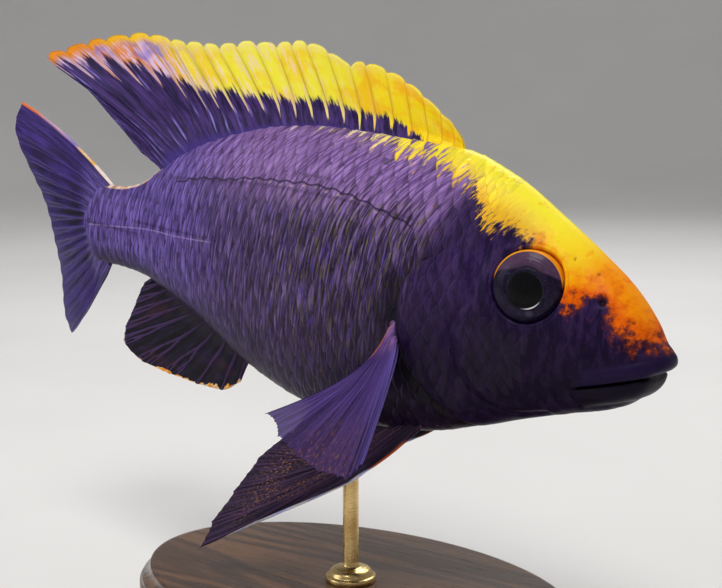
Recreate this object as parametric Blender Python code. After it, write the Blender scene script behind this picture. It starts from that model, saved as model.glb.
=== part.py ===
"""A male peacock cichlid as a life-size display model on a plain stand.

Lengths are in millimetres and angles in degrees until `place` turns them into metres.
The fish's own frame is (s, w, z): s runs from the snout to the tail root, w to its right
and z up. In the world the snout points to +X, the right flank to -Y, and the floor is Z = 0.
"""

import math

import bmesh
import bpy
import numpy as np

MM = 0.001
GAP = 0.3

STANDARD_LENGTH = 115.0
NOSE_DOWN = 5.6
PITCH_PIVOT = 40.25
AXIS_HEIGHT = 55.0
CENTRE_SHIFT = (30.18, 0.0)
TAIL_SWING_START = 78.0
TAIL_SWING = 2.0

# Outlines of the body: (s, size) pairs, smoothed by `along`.
BACK = [(1.0, -2.0), (1.1, -1.5), (1.4, -0.9), (2.0, -0.3), (3.0, 0.5), (4.7, 3.2), (8.4, 7.3), (12.5, 10.4),
        (19.9, 15.1), (27.6, 19.4), (36.0, 22.0), (46.0, 22.6), (58.0, 22.8), (69.0, 22.0),
        (80.0, 19.6), (91.0, 15.4), (97.0, 11.6), (102.5, 8.2), (108.0, 7.0), (115.0, 7.2)]
BELLY = [(1.0, -2.2), (1.1, -2.5), (1.5, -3.0), (2.6, -3.8), (3.3, -5.6), (4.7, -7.6), (8.2, -9.7),
         (16.6, -12.5), (29.4, -17.4), (37.0, -19.9), (45.0, -21.3), (53.0, -21.7), (61.0, -21.0),
         (68.0, -19.4), (74.6, -17.1), (84.0, -12.7), (93.0, -9.4), (100.0, -7.4), (106.0, -6.9),
         (115.0, -7.4)]
HALF_WIDTH = [(1.0, 0.4), (1.1, 1.2), (1.4, 2.3), (2.1, 3.3), (3.2, 4.1), (6.0, 5.2), (10.0, 6.0),
              (20.0, 7.4), (30.0, 8.5), (38.0, 9.1), (48.0, 9.3), (58.0, 8.9), (70.0, 7.3), (85.0, 4.9),
              (97.0, 3.3), (107.0, 2.3), (115.0, 1.6)]
WIDEST = [(1.0, -2.1), (3.0, -2.9), (10.0, -2.2), (20.0, -1.0), (35.0, -1.0), (55.0, 0.2), (115.0, 0.0)]
BACK_SHAPE = 1.08
SNOUT_SHAPE = 0.74
SNOUT_LENGTH = 16.0
BELLY_SHAPE = 0.86

# Mouth, along its line from the front of the lips to the corner.
MOUTH_START = (0.9, -3.3)
MOUTH_CORNER = (11.6, -6.9)
MOUTH_ROW = 0.56
LIP_HEIGHT = 2.5
LIP_RISE = 0.5
LIP_FADE = 5.0
MOUTH_DEPTH = 0.8
MOUTH_HALF_OPEN = 0.4

# Gill cover: rear edge from the nape over its lobe to the throat.
GILL_EDGE = [(31.5, 34.0), (32.0, 14.0), (33.0, 8.6), (36.4, 6.2), (38.6, 2.8), (39.3, -1.4),
             (38.0, -7.0), (33.8, -12.4), (28.2, -17.0), (25.5, -22.0), (23.0, -34.0)]
GILL_RISE = 0.55
GILL_RAMP = 7.0
GILL_SINK = 0.45

EYE = (20.0, 5.6)
EYE_RADIUS = 5.1
EYE_DEPTH = 3.1
EYE_SUNK = 1.5
EYE_FORWARD = 14.0
EYE_UP = 6.0
ORBIT_RISE = 0.35

NOSTRIL = (9.9, 5.2)
NOSTRIL_RADIUS = 0.62

TAIL_BASE_START = 99.5
# Rear edge of the fleshy tail base, from its top to its underside.
TAIL_EDGE = [(111.0, 9.5), (112.6, 6.6), (115.2, 3.4), (116.2, 0.0), (115.0, -3.6), (112.2, -6.9),
             (110.6, -9.5)]
TAIL_ROOT = (7.0, -7.3)

# Fins: the number of rays, and outlines over them as (ray, s, w, z) rows.
MEMBRANE = 0.5
RAY_RISE = 0.3
RAY_HALF = 0.2
RAY_VARIES = 0.007
FRAY = 0.012
LOBE = [(0.0, 1.0), (0.2, 1.012), (0.5, 1.0), (0.8, 0.95), (1.0, 1.0)]
DORSAL_SPINES = 17
DORSAL_RAYS = 27
DORSAL_FEET = [(0, 36.0), (3, 42.2), (6, 51.2), (9, 59.8), (12, 69.3), (15, 78.1), (18, 85.4), (21, 90.8),
               (23, 93.7), (26, 97.0)]
DORSAL_TIPS = [(0, 37.0, 0.0, 23.4), (1, 38.5, 0.0, 25.2), (2, 40.9, 0.0, 26.9), (3, 44.5, 0.0, 29.2),
               (4, 48.0, 0.0, 30.9), (5, 51.8, 0.0, 32.1), (6, 55.8, 0.0, 32.9), (7, 58.4, 0.0, 32.4),
               (8, 63.0, 0.0, 34.3), (9, 67.2, 0.0, 34.8), (10, 70.6, 0.0, 34.7), (11, 74.0, 0.0, 34.3),
               (12, 78.2, 0.0, 34.3), (13, 82.2, 0.0, 33.8), (14, 86.0, 0.0, 33.3), (15, 89.8, 0.0, 33.3),
               (16, 94.0, 0.0, 33.2), (17, 98.0, 0.0, 33.6), (18, 103.0, 0.0, 33.9), (19, 108.1, 0.0, 33.4),
               (20, 114.4, 0.0, 32.4), (21, 119.4, 0.0, 31.1), (22, 126.0, 0.0, 29.5), (23, 130.5, 0.0, 28.1),
               (24, 119.6, 0.0, 24.0), (25, 110.4, 0.0, 18.7), (26, 102.8, 0.0, 13.8)]
DORSAL_BOW = 0.03
CAUDAL_RAYS = 16
CAUDAL_TIPS = [(0, 140.4, -2.2, 18.9), (1.5, 142.0, -2.4, 14.3), (4, 138.6, -3.6, 5.8),
               (7.5, 134.0, -5.6, -3.8), (11, 132.3, -6.6, -13.6), (13.5, 131.2, -7.4, -21.2),
               (15, 129.6, -7.8, -25.0)]
CAUDAL_BEND = [(0.0, 0.67), (6.0, 0.5), (11.0, 0.5), (15.0, 0.64)]
ANAL_RAYS = 11
ANAL_ROOT = (74.6, 98.0)
ANAL_TIPS = [(0, 76.2, 0.0, -21.5), (1, 80.6, 0.0, -24.0), (2, 86.6, 0.0, -24.3), (3, 93.4, 0.0, -24.0),
             (4, 99.8, 0.0, -23.2), (5, 105.3, 0.0, -20.4), (6, 105.0, 0.0, -17.8), (7, 103.9, 0.0, -15.2),
             (8, 102.7, 0.0, -12.6), (9, 101.5, 0.0, -10.4), (10, 100.3, 0.0, -8.9)]
# The left fins lie closer to the body: turn in radians, and their share of the right fins' spread.
PELVIC_FOLD = (0.22, 1.2)
PECTORAL_FOLD = (0.42, 0.8)
PELVIC_RAYS = 6
PELVIC_ROOT = ((36.2, 158.0), (41.6, 168.0))
PELVIC_TIPS = [(0, 49.0, 7.0, -30.5), (1, 72.6, 11.5, -46.5), (2, 71.4, 10.4, -42.0), (3, 68.8, 8.8, -36.5),
               (4, 65.4, 7.0, -30.5), (5, 60.6, 5.6, -25.2)]
PECTORAL_RAYS = 13
PECTORAL_ROOT = ((40.5, 92.0), (40.9, 108.0))
PECTORAL_KNEE = [(0, 38.4, 12.3, -9.2), (12, 34.8, 12.3, -1.8)]
PECTORAL_TIPS = [(0, 58.5, 14.0, -20.0), (3, 52.4, 15.5, -23.4), (6, 45.6, 16.4, -25.2),
                 (9, 40.4, 16.6, -24.9), (12, 38.6, 15.6, -22.6)]

BASE_LENGTH = 80.0
BASE_WIDTH = 52.0
BASE_THICKNESS = 8.0
BASE_EDGE = 1.6
ROD_AT = 55.0
ROD_RADIUS = 1.25
COLLAR_RADIUS = 4.0
COLLAR_HEIGHT = 2.2

SHARP_FROM = 35.0

COLOURS = {
    "skin": (0.075, 0.045, 0.17),
    "fin": (0.10, 0.05, 0.20),
    "dorsal": (0.80, 0.52, 0.03),
    "eye": (0.02, 0.015, 0.03),
    "wood": (0.05, 0.025, 0.012),
    "brass": (0.55, 0.38, 0.14),
}
FINISH = {"skin": (0.35, 0.0), "fin": (0.40, 0.0), "dorsal": (0.40, 0.0), "eye": (0.08, 0.0),
          "wood": (0.35, 0.0), "brass": (0.25, 1.0)}


def along(points, x):
    """A smooth curve through (x, y) pairs that doesn't overshoot them."""
    px, py = np.array(points, float).T
    step = np.diff(px)
    slope = np.diff(py) / step
    lean = np.zeros(len(px))
    lean[0], lean[-1] = slope[0], slope[-1]
    same = slope[:-1] * slope[1:] > 0
    before = 2 * step[1:] + step[:-1]
    after = step[1:] + 2 * step[:-1]
    mean = (before + after) / (before / np.where(same, slope[:-1], 1) + after / np.where(same, slope[1:], 1))
    lean[1:-1] = np.where(same, mean, 0)
    x = np.clip(np.asarray(x, float), px[0], px[-1])
    i = np.clip(np.searchsorted(px, x, side="right") - 1, 0, len(step) - 1)
    t = (x - px[i]) / step[i]
    rise = py[i] * (1 + 2 * t) * (1 - t) ** 2 + py[i + 1] * t * t * (3 - 2 * t)
    return rise + step[i] * (lean[i] * t * (1 - t) ** 2 - lean[i + 1] * t * t * (1 - t))


def ease(x):
    """0 below 0, 1 above 1, smooth between."""
    x = np.clip(x, 0, 1)
    return x * x * (3 - 2 * x)


def unit(v):
    return v / np.maximum(np.linalg.norm(v, axis=-1, keepdims=True), 1e-9)


def section(s, theta):
    """Point of the plain body at s and the angle theta (0 on the back, 180 on the belly, right side)."""
    s, theta = np.broadcast_arrays(np.asarray(s, float), np.radians(theta))
    top, bottom, middle = along(BACK, s), along(BELLY, s), along(WIDEST, s)
    cosine = np.cos(theta)
    back = SNOUT_SHAPE + (BACK_SHAPE - SNOUT_SHAPE) * ease(s / SNOUT_LENGTH)
    belly = SNOUT_SHAPE + (BELLY_SHAPE - SNOUT_SHAPE) * ease(s / SNOUT_LENGTH)
    power = belly + (back - belly) * ease(0.5 + cosine)
    side = np.sign(np.sin(theta)) * np.abs(np.sin(theta)) ** power
    z = middle + cosine * np.where(cosine > 0, top - middle, middle - bottom)
    return np.stack([s, along(HALF_WIDTH, s) * side, z], -1)


def outward(s, theta):
    """Unit normal of the plain body."""
    ds = section(np.asarray(s) + 0.05, theta) - section(np.asarray(s) - 0.05, theta)
    dt = section(s, np.asarray(theta) + 0.5) - section(s, np.asarray(theta) - 0.5)
    return unit(np.cross(ds, dt))


def on_skin(s, theta, lift):
    return section(s, theta) + outward(s, theta) * np.asarray(lift)[..., None]


def ridge_angle(s, w, belly):
    """The angle at which the plain body is w wide, near the back or near the belly."""
    power = BELLY_SHAPE if belly else BACK_SHAPE
    turn = np.degrees(np.arcsin((w / along(HALF_WIDTH, s)) ** (1 / power)))
    return 180 - turn if belly else turn


def mouth_line(s):
    (s0, z0), (s1, z1) = MOUTH_START, MOUTH_CORNER
    return z0 + (z1 - z0) * (s - s0) / (s1 - s0)


def lip_relief(s, z):
    """How far the lips stand out and the mouth goes in, in mm."""
    up = z - mouth_line(s)
    here = ease((MOUTH_CORNER[0] + 1.5 - s) / LIP_FADE)
    upper = np.sin(np.pi * np.clip(up / LIP_HEIGHT, 0, 1))
    lower = np.sin(np.pi * np.clip(-up / (LIP_HEIGHT + 0.4), 0, 1))
    crease = np.exp(-((up / MOUTH_HALF_OPEN) ** 2))
    return here * (LIP_RISE * (upper + lower) - MOUTH_DEPTH * crease)


def gill_edge(z):
    """s of the gill cover's rear edge at the height z."""
    return along(sorted((height, s) for s, height in GILL_EDGE), z)


def tail_edge(z):
    """s of the tail base's rear edge at the height z."""
    return along(sorted((height, s) for s, height in TAIL_EDGE), z)


def moved_edge(edge, heights, by):
    """An edge, s over z, moved square to its own line, as (s, z) points."""
    s = edge(heights)
    lean = np.gradient(s, heights)
    size = np.hypot(1, lean)
    return list(zip(s + by / size, heights - by * lean / size))


def gill_relief(s, z, covered):
    """The cover's rise towards its edge, and the body's dip behind it where it is covered."""
    ahead = gill_edge(z) - s
    level = ease((12.0 - z) / 8.0) * ease((z + 19.0) / 6.0)
    if covered:
        return -GILL_SINK * level * ease(1 + np.minimum(ahead, 0) / 3.0)
    return GILL_RISE * level * ease(1 - np.maximum(ahead, 0) / GILL_RAMP)


def orbit_relief(s, z):
    reach = np.hypot(s - EYE[0], z - EYE[1])
    return ORBIT_RISE * np.exp(-(((reach - EYE_RADIUS - 0.4) / 1.1) ** 2))


def body_grid(stations, share, covered):
    """Points of the right side over stations and rows from back to belly, with lips and gill cover."""
    s = np.repeat(np.asarray(stations, float)[:, None], len(share), 1)
    bottom, middle = along(BELLY, s), along(WIDEST, s)
    aim = np.clip(mouth_line(s), bottom + 0.15 * (middle - bottom), middle - 0.05)
    mouth = np.degrees(np.arccos(-(middle - aim) / (middle - bottom)))
    mouth = mouth + (180 * MOUTH_ROW - mouth) * ease((s - MOUTH_CORNER[0]) / 8.0)
    above = share / MOUTH_ROW * mouth
    below = mouth + (share - MOUTH_ROW) / (1 - MOUTH_ROW) * (180 - mouth)
    theta = np.where(share < MOUTH_ROW, above, below)
    plain = section(s, theta)
    relief = gill_relief(s, plain[..., 2], covered) + orbit_relief(s, plain[..., 2])
    relief = relief * np.clip(np.sin(np.radians(theta)) * 3.0, 0.35, 1) + lip_relief(s, plain[..., 2])
    points = plain + outward(s, theta) * relief[..., None]
    points[:, 0, 1] = 0
    points[:, -1, 1] = 0
    return points


def spine_place(points):
    """From the straight frame to the swung one: the tail root turns to the fish's left on an arc."""
    points = np.asarray(points, float)
    radius = (STANDARD_LENGTH - TAIL_SWING_START) / math.radians(TAIL_SWING)
    beyond = np.maximum(points[..., 0] - TAIL_SWING_START, 0)
    turn = np.minimum(beyond, STANDARD_LENGTH - TAIL_SWING_START) / radius
    rest = beyond - turn * radius
    x = -(np.minimum(points[..., 0], TAIL_SWING_START) + radius * np.sin(turn) + rest * np.cos(turn))
    y = radius * (1 - np.cos(turn)) + rest * np.sin(turn)
    w = points[..., 1]
    return np.stack([x - w * np.sin(turn), y - w * np.cos(turn), points[..., 2]], -1)


def place(points):
    """World position, in metres, of points of the fish's frame."""
    p = spine_place(points) + np.array([PITCH_PIVOT, 0, 0])
    c, n = math.cos(math.radians(NOSE_DOWN)), math.sin(math.radians(NOSE_DOWN))
    x = c * p[..., 0] + n * p[..., 2] + CENTRE_SHIFT[0]
    z = -n * p[..., 0] + c * p[..., 2] + AXIS_HEIGHT
    return np.stack([x, p[..., 1] + CENTRE_SHIFT[1], z], -1) * MM


def material(slot):
    found = bpy.data.materials.get(slot)
    if found:
        return found
    made = bpy.data.materials.new(slot)
    made.use_nodes = True
    shader = made.node_tree.nodes["Principled BSDF"]
    shader.inputs["Base Color"].default_value = (*COLOURS[slot], 1)
    shader.inputs["Roughness"].default_value, shader.inputs["Metallic"].default_value = FINISH[slot]
    return made


def add_object(name, points, faces, slot):
    """An object from points in metres, its faces turned outward."""
    mesh = bpy.data.meshes.new(name)
    mesh.from_pydata([tuple(p) for p in points], [], [tuple(map(int, f)) for f in faces])
    work = bmesh.new()
    work.from_mesh(mesh)
    bmesh.ops.remove_doubles(work, verts=work.verts, dist=1e-7)
    bmesh.ops.recalc_face_normals(work, faces=work.faces)
    if work.calc_volume(signed=True) < 0:
        bmesh.ops.reverse_faces(work, faces=work.faces)
    work.to_mesh(mesh)
    work.free()
    mesh.shade_smooth()
    made = bpy.data.objects.new(name, mesh)
    made.data.materials.append(material(slot))
    bpy.context.collection.objects.link(made)
    return made


def hidden(helper):
    """Marks a cutter, which is no part of the model."""
    helper.hide_render = True
    helper.display_type = "WIRE"
    return helper


def ring_mesh(name, rings, slot):
    """A closed tube over rings of equal point counts, with a fan at each end."""
    count = len(rings[0])
    points = [p for ring in rings for p in ring]
    faces = []
    for k in range(len(rings) - 1):
        for j in range(count):
            a, b = k * count + j, k * count + (j + 1) % count
            c, d = b + count, a + count
            faces += [(a, b, c), (a, c, d)]
    for k, order in ((0, 1), (len(rings) - 1, -1)):
        points.append(np.mean(rings[k], axis=0))
        for j in range(count):
            a, b = k * count + j, k * count + (j + 1) % count
            faces.append((a, b, len(points) - 1)[::order])
    return add_object(name, points, faces, slot)


def body_piece(name, stations, share, covered=True):
    grid = place_sides(body_grid(stations, share, covered))
    return ring_mesh(name, [place(ring) for ring in grid], "skin")


def place_sides(grid):
    """Whole rings from the right side's rows: down the right side and up the left."""
    left = grid[:, -2:0:-1].copy()
    left[..., 1] *= -1
    return np.concatenate([grid, left], axis=1)


def curtain(edge, ahead):
    """A cutter whose one face follows `edge`, (s, z) points, straight across the body."""
    far = -60.0 if ahead else 200.0
    rings = []
    for w in (-40.0, 40.0):
        rows = [(s, w, z) for s, z in edge] + [(far, w, z) for s, z in reversed(edge)]
        rings.append([place(np.array(p)) for p in rows])
    count = len(rings[0])
    half = len(edge)
    points = rings[0] + rings[1]
    faces = [(j, (j + 1) % count, count + (j + 1) % count, count + j) for j in range(count)]
    for start in (0, count):
        for j in range(half - 1):
            faces.append((start + j, start + j + 1, start + count - 2 - j, start + count - 1 - j))
    return hidden(add_object("curtain_cutter", points, faces, "skin"))


def gill_curtain(by, ahead):
    heights = np.linspace(GILL_EDGE[0][1], GILL_EDGE[-1][1], 45)
    return curtain(moved_edge(gill_edge, heights, by), ahead)


def cut(target, cutter):
    """Takes the cutter's volume from the target and removes the cutter."""
    modifier = target.modifiers.new("cut", "BOOLEAN")
    modifier.operation = "DIFFERENCE"
    modifier.solver = "EXACT"
    modifier.object = cutter
    bpy.context.view_layer.objects.active = target
    bpy.context.view_layer.update()
    bpy.ops.object.modifier_apply(modifier=modifier.name)
    bpy.data.objects.remove(cutter)
    return target


def keep_largest(target):
    """Drops every loose scrap but the largest closed surface."""
    work = bmesh.new()
    work.from_mesh(target.data)
    left = set(work.verts)
    best = set()
    while left:
        seen = {left.pop()}
        queue = list(seen)
        while queue:
            for edge in queue.pop().link_edges:
                for vert in edge.verts:
                    if vert not in seen:
                        seen.add(vert)
                        queue.append(vert)
        left -= seen
        if len(seen) > len(best):
            best = seen
    bmesh.ops.delete(work, geom=[v for v in work.verts if v not in best], context="VERTS")
    work.to_mesh(target.data)
    work.free()
    return target


def eye_frame(side):
    """Centre and axes (out, forward, up) of an eye in the fish's frame; side is 1 on the right."""
    s, z = EYE
    top, middle = along(BACK, s), along(WIDEST, s)
    theta = math.degrees(math.acos((z - middle) / (top - middle)))
    centre = section(s, theta)
    forward, lift = math.radians(EYE_FORWARD), math.radians(EYE_UP)
    out = np.array([-math.sin(forward), math.cos(forward) * math.cos(lift), math.sin(lift)])
    out = unit(out)
    ahead = unit(np.cross(np.array([0, 0, 1.0]), out))
    up = np.cross(out, ahead)
    centre = centre - out * EYE_SUNK
    flip = np.array([1, side, 1])
    return centre * flip, out * flip, ahead * flip, up * flip


def eye_ball(name, side, grow, slot):
    """An eyeball: a ball flattened along its axis, grown by `grow`."""
    centre, out, ahead, up = eye_frame(side)
    rings = []
    for k in range(1, 10):
        lat = math.pi * k / 10
        across = (EYE_RADIUS + grow) * math.sin(lat)
        deep = (EYE_DEPTH + grow) * math.cos(lat)
        turns = np.linspace(0, 2 * math.pi, 25)[:-1]
        ring = [centre + out * deep + across * (ahead * math.cos(t) + up * math.sin(t)) for t in turns]
        rings.append([place(p) for p in ring])
    return ring_mesh(name, rings, slot)


def nostril_cutter(side):
    s, z = NOSTRIL
    top, middle = along(BACK, s), along(WIDEST, s)
    theta = math.degrees(math.acos((z - middle) / (top - middle)))
    centre, out = section(s, theta), outward(s, theta)
    centre, out = centre * np.array([1, side, 1]), out * np.array([1, side, 1])
    ahead = unit(np.cross(np.array([0, 0, 1.0]), out))
    up = np.cross(out, ahead)
    turns = np.linspace(0, 2 * math.pi, 11)[:-1]
    rings = []
    for deep, size in ((1.0, 1.25), (0.05, 1.0), (-0.5, 0.8), (-0.9, 0.35)):
        across = NOSTRIL_RADIUS * size
        ring = [centre + out * deep + across * (ahead * math.cos(t) + up * math.sin(t)) for t in turns]
        rings.append([place(p) for p in ring])
    return hidden(ring_mesh("nostril_cutter", rings, "skin"))


def head():
    stations = 1.03 + 42.5 * np.linspace(0, 1, 35) ** 1.8
    near = MOUTH_ROW + np.array([-0.045, -0.015, 0.0, 0.015, 0.045])
    share = np.concatenate([np.linspace(0, MOUTH_ROW - 0.09, 9), near, np.linspace(MOUTH_ROW + 0.09, 1, 7)])
    made = body_piece("head", stations, share, covered=False)
    cut(made, gill_curtain(-GAP / 2, False))
    for side in (1, -1):
        cut(made, hidden(eye_ball("socket_cutter", side, GAP, "skin")))
        cut(made, nostril_cutter(side))
    return keep_largest(made)


def torso():
    stations = TAIL_BASE_START - GAP - 78.2 * (1 - np.linspace(0, 1, 29)) ** 1.25
    made = body_piece("torso", stations, np.linspace(0, 1, 18))
    cut(made, gill_curtain(GAP / 2, True))
    return keep_largest(made)


def tail_base():
    stations = np.linspace(TAIL_BASE_START, STANDARD_LENGTH + 3, 9)
    made = body_piece("tail_base", stations, np.linspace(0, 1, 13))
    heights = np.linspace(TAIL_EDGE[0][1], TAIL_EDGE[-1][1], 17)
    return keep_largest(cut(made, curtain(moved_edge(tail_edge, heights, -GAP), False)))


def over_rays(table, u):
    """Points over the ray number u, from (ray, s, w, z) rows."""
    rows = np.array(table, float)
    return np.stack([along(list(zip(rows[:, 0], rows[:, k])), u) for k in (1, 2, 3)], -1)


def bezier(a, b, c, v):
    v = v[..., None]
    return a * (1 - v) ** 2 + 2 * b * v * (1 - v) + c * v * v


def fin_mesh(name, centre, half, root, slot):
    """A closed fin from a grid of middle points and half thicknesses, with its two root rows given."""
    du = np.gradient(centre, axis=0)
    dv = np.gradient(centre, axis=1)
    normal = unit(np.cross(du, dv))
    front = centre + normal * half[..., None]
    back = centre - normal * half[..., None]
    near = np.sum((root[0] - root[1]) * normal[:, 0], -1) > 0
    front[:, 0] = np.where(near[:, None], root[0], root[1])
    back[:, 0] = np.where(near[:, None], root[1], root[0])
    n, m = half.shape
    points = place(np.concatenate([front.reshape(-1, 3), back.reshape(-1, 3), centre[:, 0]]))
    at = np.arange(n * m).reshape(n, m)
    foot = 2 * n * m + np.arange(n)
    faces = []
    for i in range(n - 1):
        for side in (0, n * m):
            a, b, c, d = at[i, 0] + side, at[i + 1, 0] + side, foot[i + 1], foot[i]
            faces += [(b, a, d)[:: 1 if side == 0 else -1], (b, d, c)[:: 1 if side == 0 else -1]]
    for i in (0, -1):
        faces.append((at[i, 0], foot[i], at[i, 0] + n * m)[:: 1 if i else -1])
    for i in range(n - 1):
        for j in range(m - 1):
            a, b, c, d = at[i, j], at[i + 1, j], at[i + 1, j + 1], at[i, j + 1]
            faces += [(a, b, c), (a, c, d)]
            faces += [(c + n * m, b + n * m, a + n * m), (d + n * m, c + n * m, a + n * m)]
    rim = [at[-1, j] for j in range(m)] + [at[i, -1] for i in range(n - 2, -1, -1)]
    rim += [at[0, j] for j in range(m - 2, -1, -1)]
    for a, b in zip(rim[:-1], rim[1:]):
        faces += [(b, a, a + n * m), (b, a + n * m, b + n * m)]
    return add_object(name, points, faces, slot)


def ray_columns(count, spines=0):
    """Columns over a fin: each ray's crest and sides, and the middle of the membrane behind a spine."""
    marks = []
    for ray in range(count - 1):
        marks += [ray, ray + RAY_HALF]
        if ray < spines - 1:
            marks.append(ray + 0.5)
        marks.append(ray + 1 - RAY_HALF)
    return np.array(marks + [count - 1.0])


def crest(u):
    """1 on a ray and 0 on the membrane between rays."""
    return np.clip(1 - np.abs(u - np.round(u)) / RAY_HALF, 0, 1)


def edge_share(u, spines, seed):
    """How much of its length a fin has at each column: lobed behind a spine, a little ragged elsewhere."""
    draw = np.random.default_rng(seed).normal(0, RAY_VARIES, int(u[-1]) + 2)
    varied = 1 + np.interp(u, np.arange(len(draw)), draw)
    lobe = along(LOBE, u - np.floor(u))
    fray = 1 - FRAY * (1 - crest(u))
    return (varied * np.where(u < spines - 1, lobe, fray))[:, None]


def thickness(u, v, root):
    """Half thickness of a fin: its fleshy foot, the thin membrane and the raised rays."""
    foot = (root - MEMBRANE) * (1 - ease(v * 3.2))
    ray = 2 * RAY_RISE * (1 - 0.65 * v) * ease(v * 6)
    return (MEMBRANE + foot + crest(u) * ray) / 2


def dorsal_fin():
    u = ray_columns(DORSAL_RAYS, DORSAL_SPINES)
    v = np.linspace(0, 1, 6)
    s = along(DORSAL_FEET, u)
    lift = GAP + 0.06 + 0.3 * ease((s - 84) / 6)
    foot = on_skin(s, 0 * s, lift)
    tip = foot + (over_rays(DORSAL_TIPS, u) - foot) * edge_share(u, DORSAL_SPINES, 3)
    across = np.stack([foot[:, 2] - tip[:, 2], 0 * s, tip[:, 0] - foot[:, 0]], -1)
    bow = (foot + tip) / 2 + across * DORSAL_BOW
    centre = bezier(foot[:, None], bow[:, None], tip[:, None], v[None, :] + 0 * u[:, None])
    half = thickness(u[:, None], v[None, :], 1.7)
    root = [on_skin(s, side * ridge_angle(s, 0.85, False), lift) for side in (1, -1)]
    return fin_mesh("dorsal_fin", centre, half, root, "dorsal")


def anal_fin():
    u = ray_columns(ANAL_RAYS)
    v = np.linspace(0, 1, 6)
    s = np.interp(u, [0, ANAL_RAYS - 1], ANAL_ROOT)
    foot = on_skin(s, 180 + 0 * s, GAP + 0.1 + 0 * s)
    tip = foot + (over_rays(ANAL_TIPS, u) - foot) * edge_share(u, 0, 5)
    bow = (foot + tip) / 2
    centre = bezier(foot[:, None], bow[:, None], tip[:, None], v[None, :] + 0 * u[:, None])
    half = thickness(u[:, None], v[None, :], 1.5)
    root = [on_skin(s, side * ridge_angle(s, 0.75, True), GAP + 0.1 + 0 * s) for side in (1, -1)]
    return fin_mesh("anal_fin", centre, half, root, "fin")


def caudal_fin():
    u = ray_columns(CAUDAL_RAYS)
    v = np.linspace(0, 1, 7)
    z = np.interp(u, [0, CAUDAL_RAYS - 1], TAIL_ROOT)
    foot = np.stack([tail_edge(z), 0 * z, z], -1)
    tip = foot + (over_rays(CAUDAL_TIPS, u) - foot) * edge_share(u, 0, 7)
    bend = np.stack([0.45 + 0 * u, 0.35 + 0 * u, along(CAUDAL_BEND, u)], -1)
    bow = foot + (tip - foot) * bend
    centre = bezier(foot[:, None], bow[:, None], tip[:, None], v[None, :] + 0 * u[:, None])
    half = thickness(u[:, None], v[None, :], 2.0)
    wide = 0.45 + 0.65 * np.sqrt(1 - (z / 7.6) ** 2)
    root = [foot + np.stack([0 * z, side * wide, 0 * z], -1) for side in (1, -1)]
    return fin_mesh("caudal_fin", centre, half, root, "fin")


def paired(points, side):
    return points * np.array([1, side, 1])


def folded(tip, foot, side, fold):
    """The left fin's tips, turned back and spread less or more than the right fin's."""
    if side > 0:
        return tip
    turn, spread = fold
    drawn = tip - foot
    back = drawn[:, 0] * math.cos(turn) - drawn[:, 2] * math.sin(turn)
    down = drawn[:, 0] * math.sin(turn) + drawn[:, 2] * math.cos(turn)
    return foot + np.stack([back, drawn[:, 1] * spread, down], -1)


def pelvic_fin(name, side):
    u = ray_columns(PELVIC_RAYS)
    v = np.linspace(0, 1, 8)
    share = u / (PELVIC_RAYS - 1)
    (s0, t0), (s1, t1) = PELVIC_ROOT
    s, theta = s0 + (s1 - s0) * share, t0 + (t1 - t0) * share
    foot = on_skin(s, theta, GAP + 0.05 + 0 * s)
    reach = folded(over_rays(PELVIC_TIPS, u), foot, side, PELVIC_FOLD) - foot
    tip = foot + reach * edge_share(u, 0, 11)
    bow = foot + (tip - foot) * 0.4 + outward(s, theta) * 3.0
    centre = bezier(foot[:, None], bow[:, None], tip[:, None], v[None, :] + 0 * u[:, None])
    half = thickness(u[:, None], v[None, :], 1.4)
    root = [on_skin(s, theta + turn * 5.0, GAP + 0.05 + 0 * s) for turn in (1, -1)]
    return fin_mesh(name, paired(centre, side), half, [paired(r, side) for r in root], "fin")


def stalked(foot, knee, tip, v):
    """Rays that run together down a stalk to the knee and fan out behind it."""
    low, high = foot + (knee - foot) * 0.8, knee + (tip - knee) * 0.24
    v = v[..., None]
    start = foot[:, None] * (1 - v) ** 3 + 3 * low[:, None] * v * (1 - v) ** 2
    return start + 3 * high[:, None] * v * v * (1 - v) + tip[:, None] * v**3


def pectoral_fin(name, side):
    u = ray_columns(PECTORAL_RAYS)
    v = np.linspace(0, 1, 8)
    share = u / (PECTORAL_RAYS - 1)
    (s0, t0), (s1, t1) = PECTORAL_ROOT
    s, theta = s0 + (s1 - s0) * share, t0 + (t1 - t0) * share
    foot = on_skin(s, theta, GAP + 0 * s)
    reach = folded(over_rays(PECTORAL_TIPS, u), foot, side, PECTORAL_FOLD) - foot
    tip = foot + reach * edge_share(u, 0, 13)
    knee = over_rays(PECTORAL_KNEE, u)
    centre = stalked(foot, knee, tip, v[None, :] + 0 * u[:, None])
    half = thickness(u[:, None], v[None, :], 1.5)
    root = [on_skin(s + turn * 0.65, theta, GAP + 0 * s) for turn in (1, -1)]
    return fin_mesh(name, paired(centre, side), half, [paired(r, side) for r in root], "fin")


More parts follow.
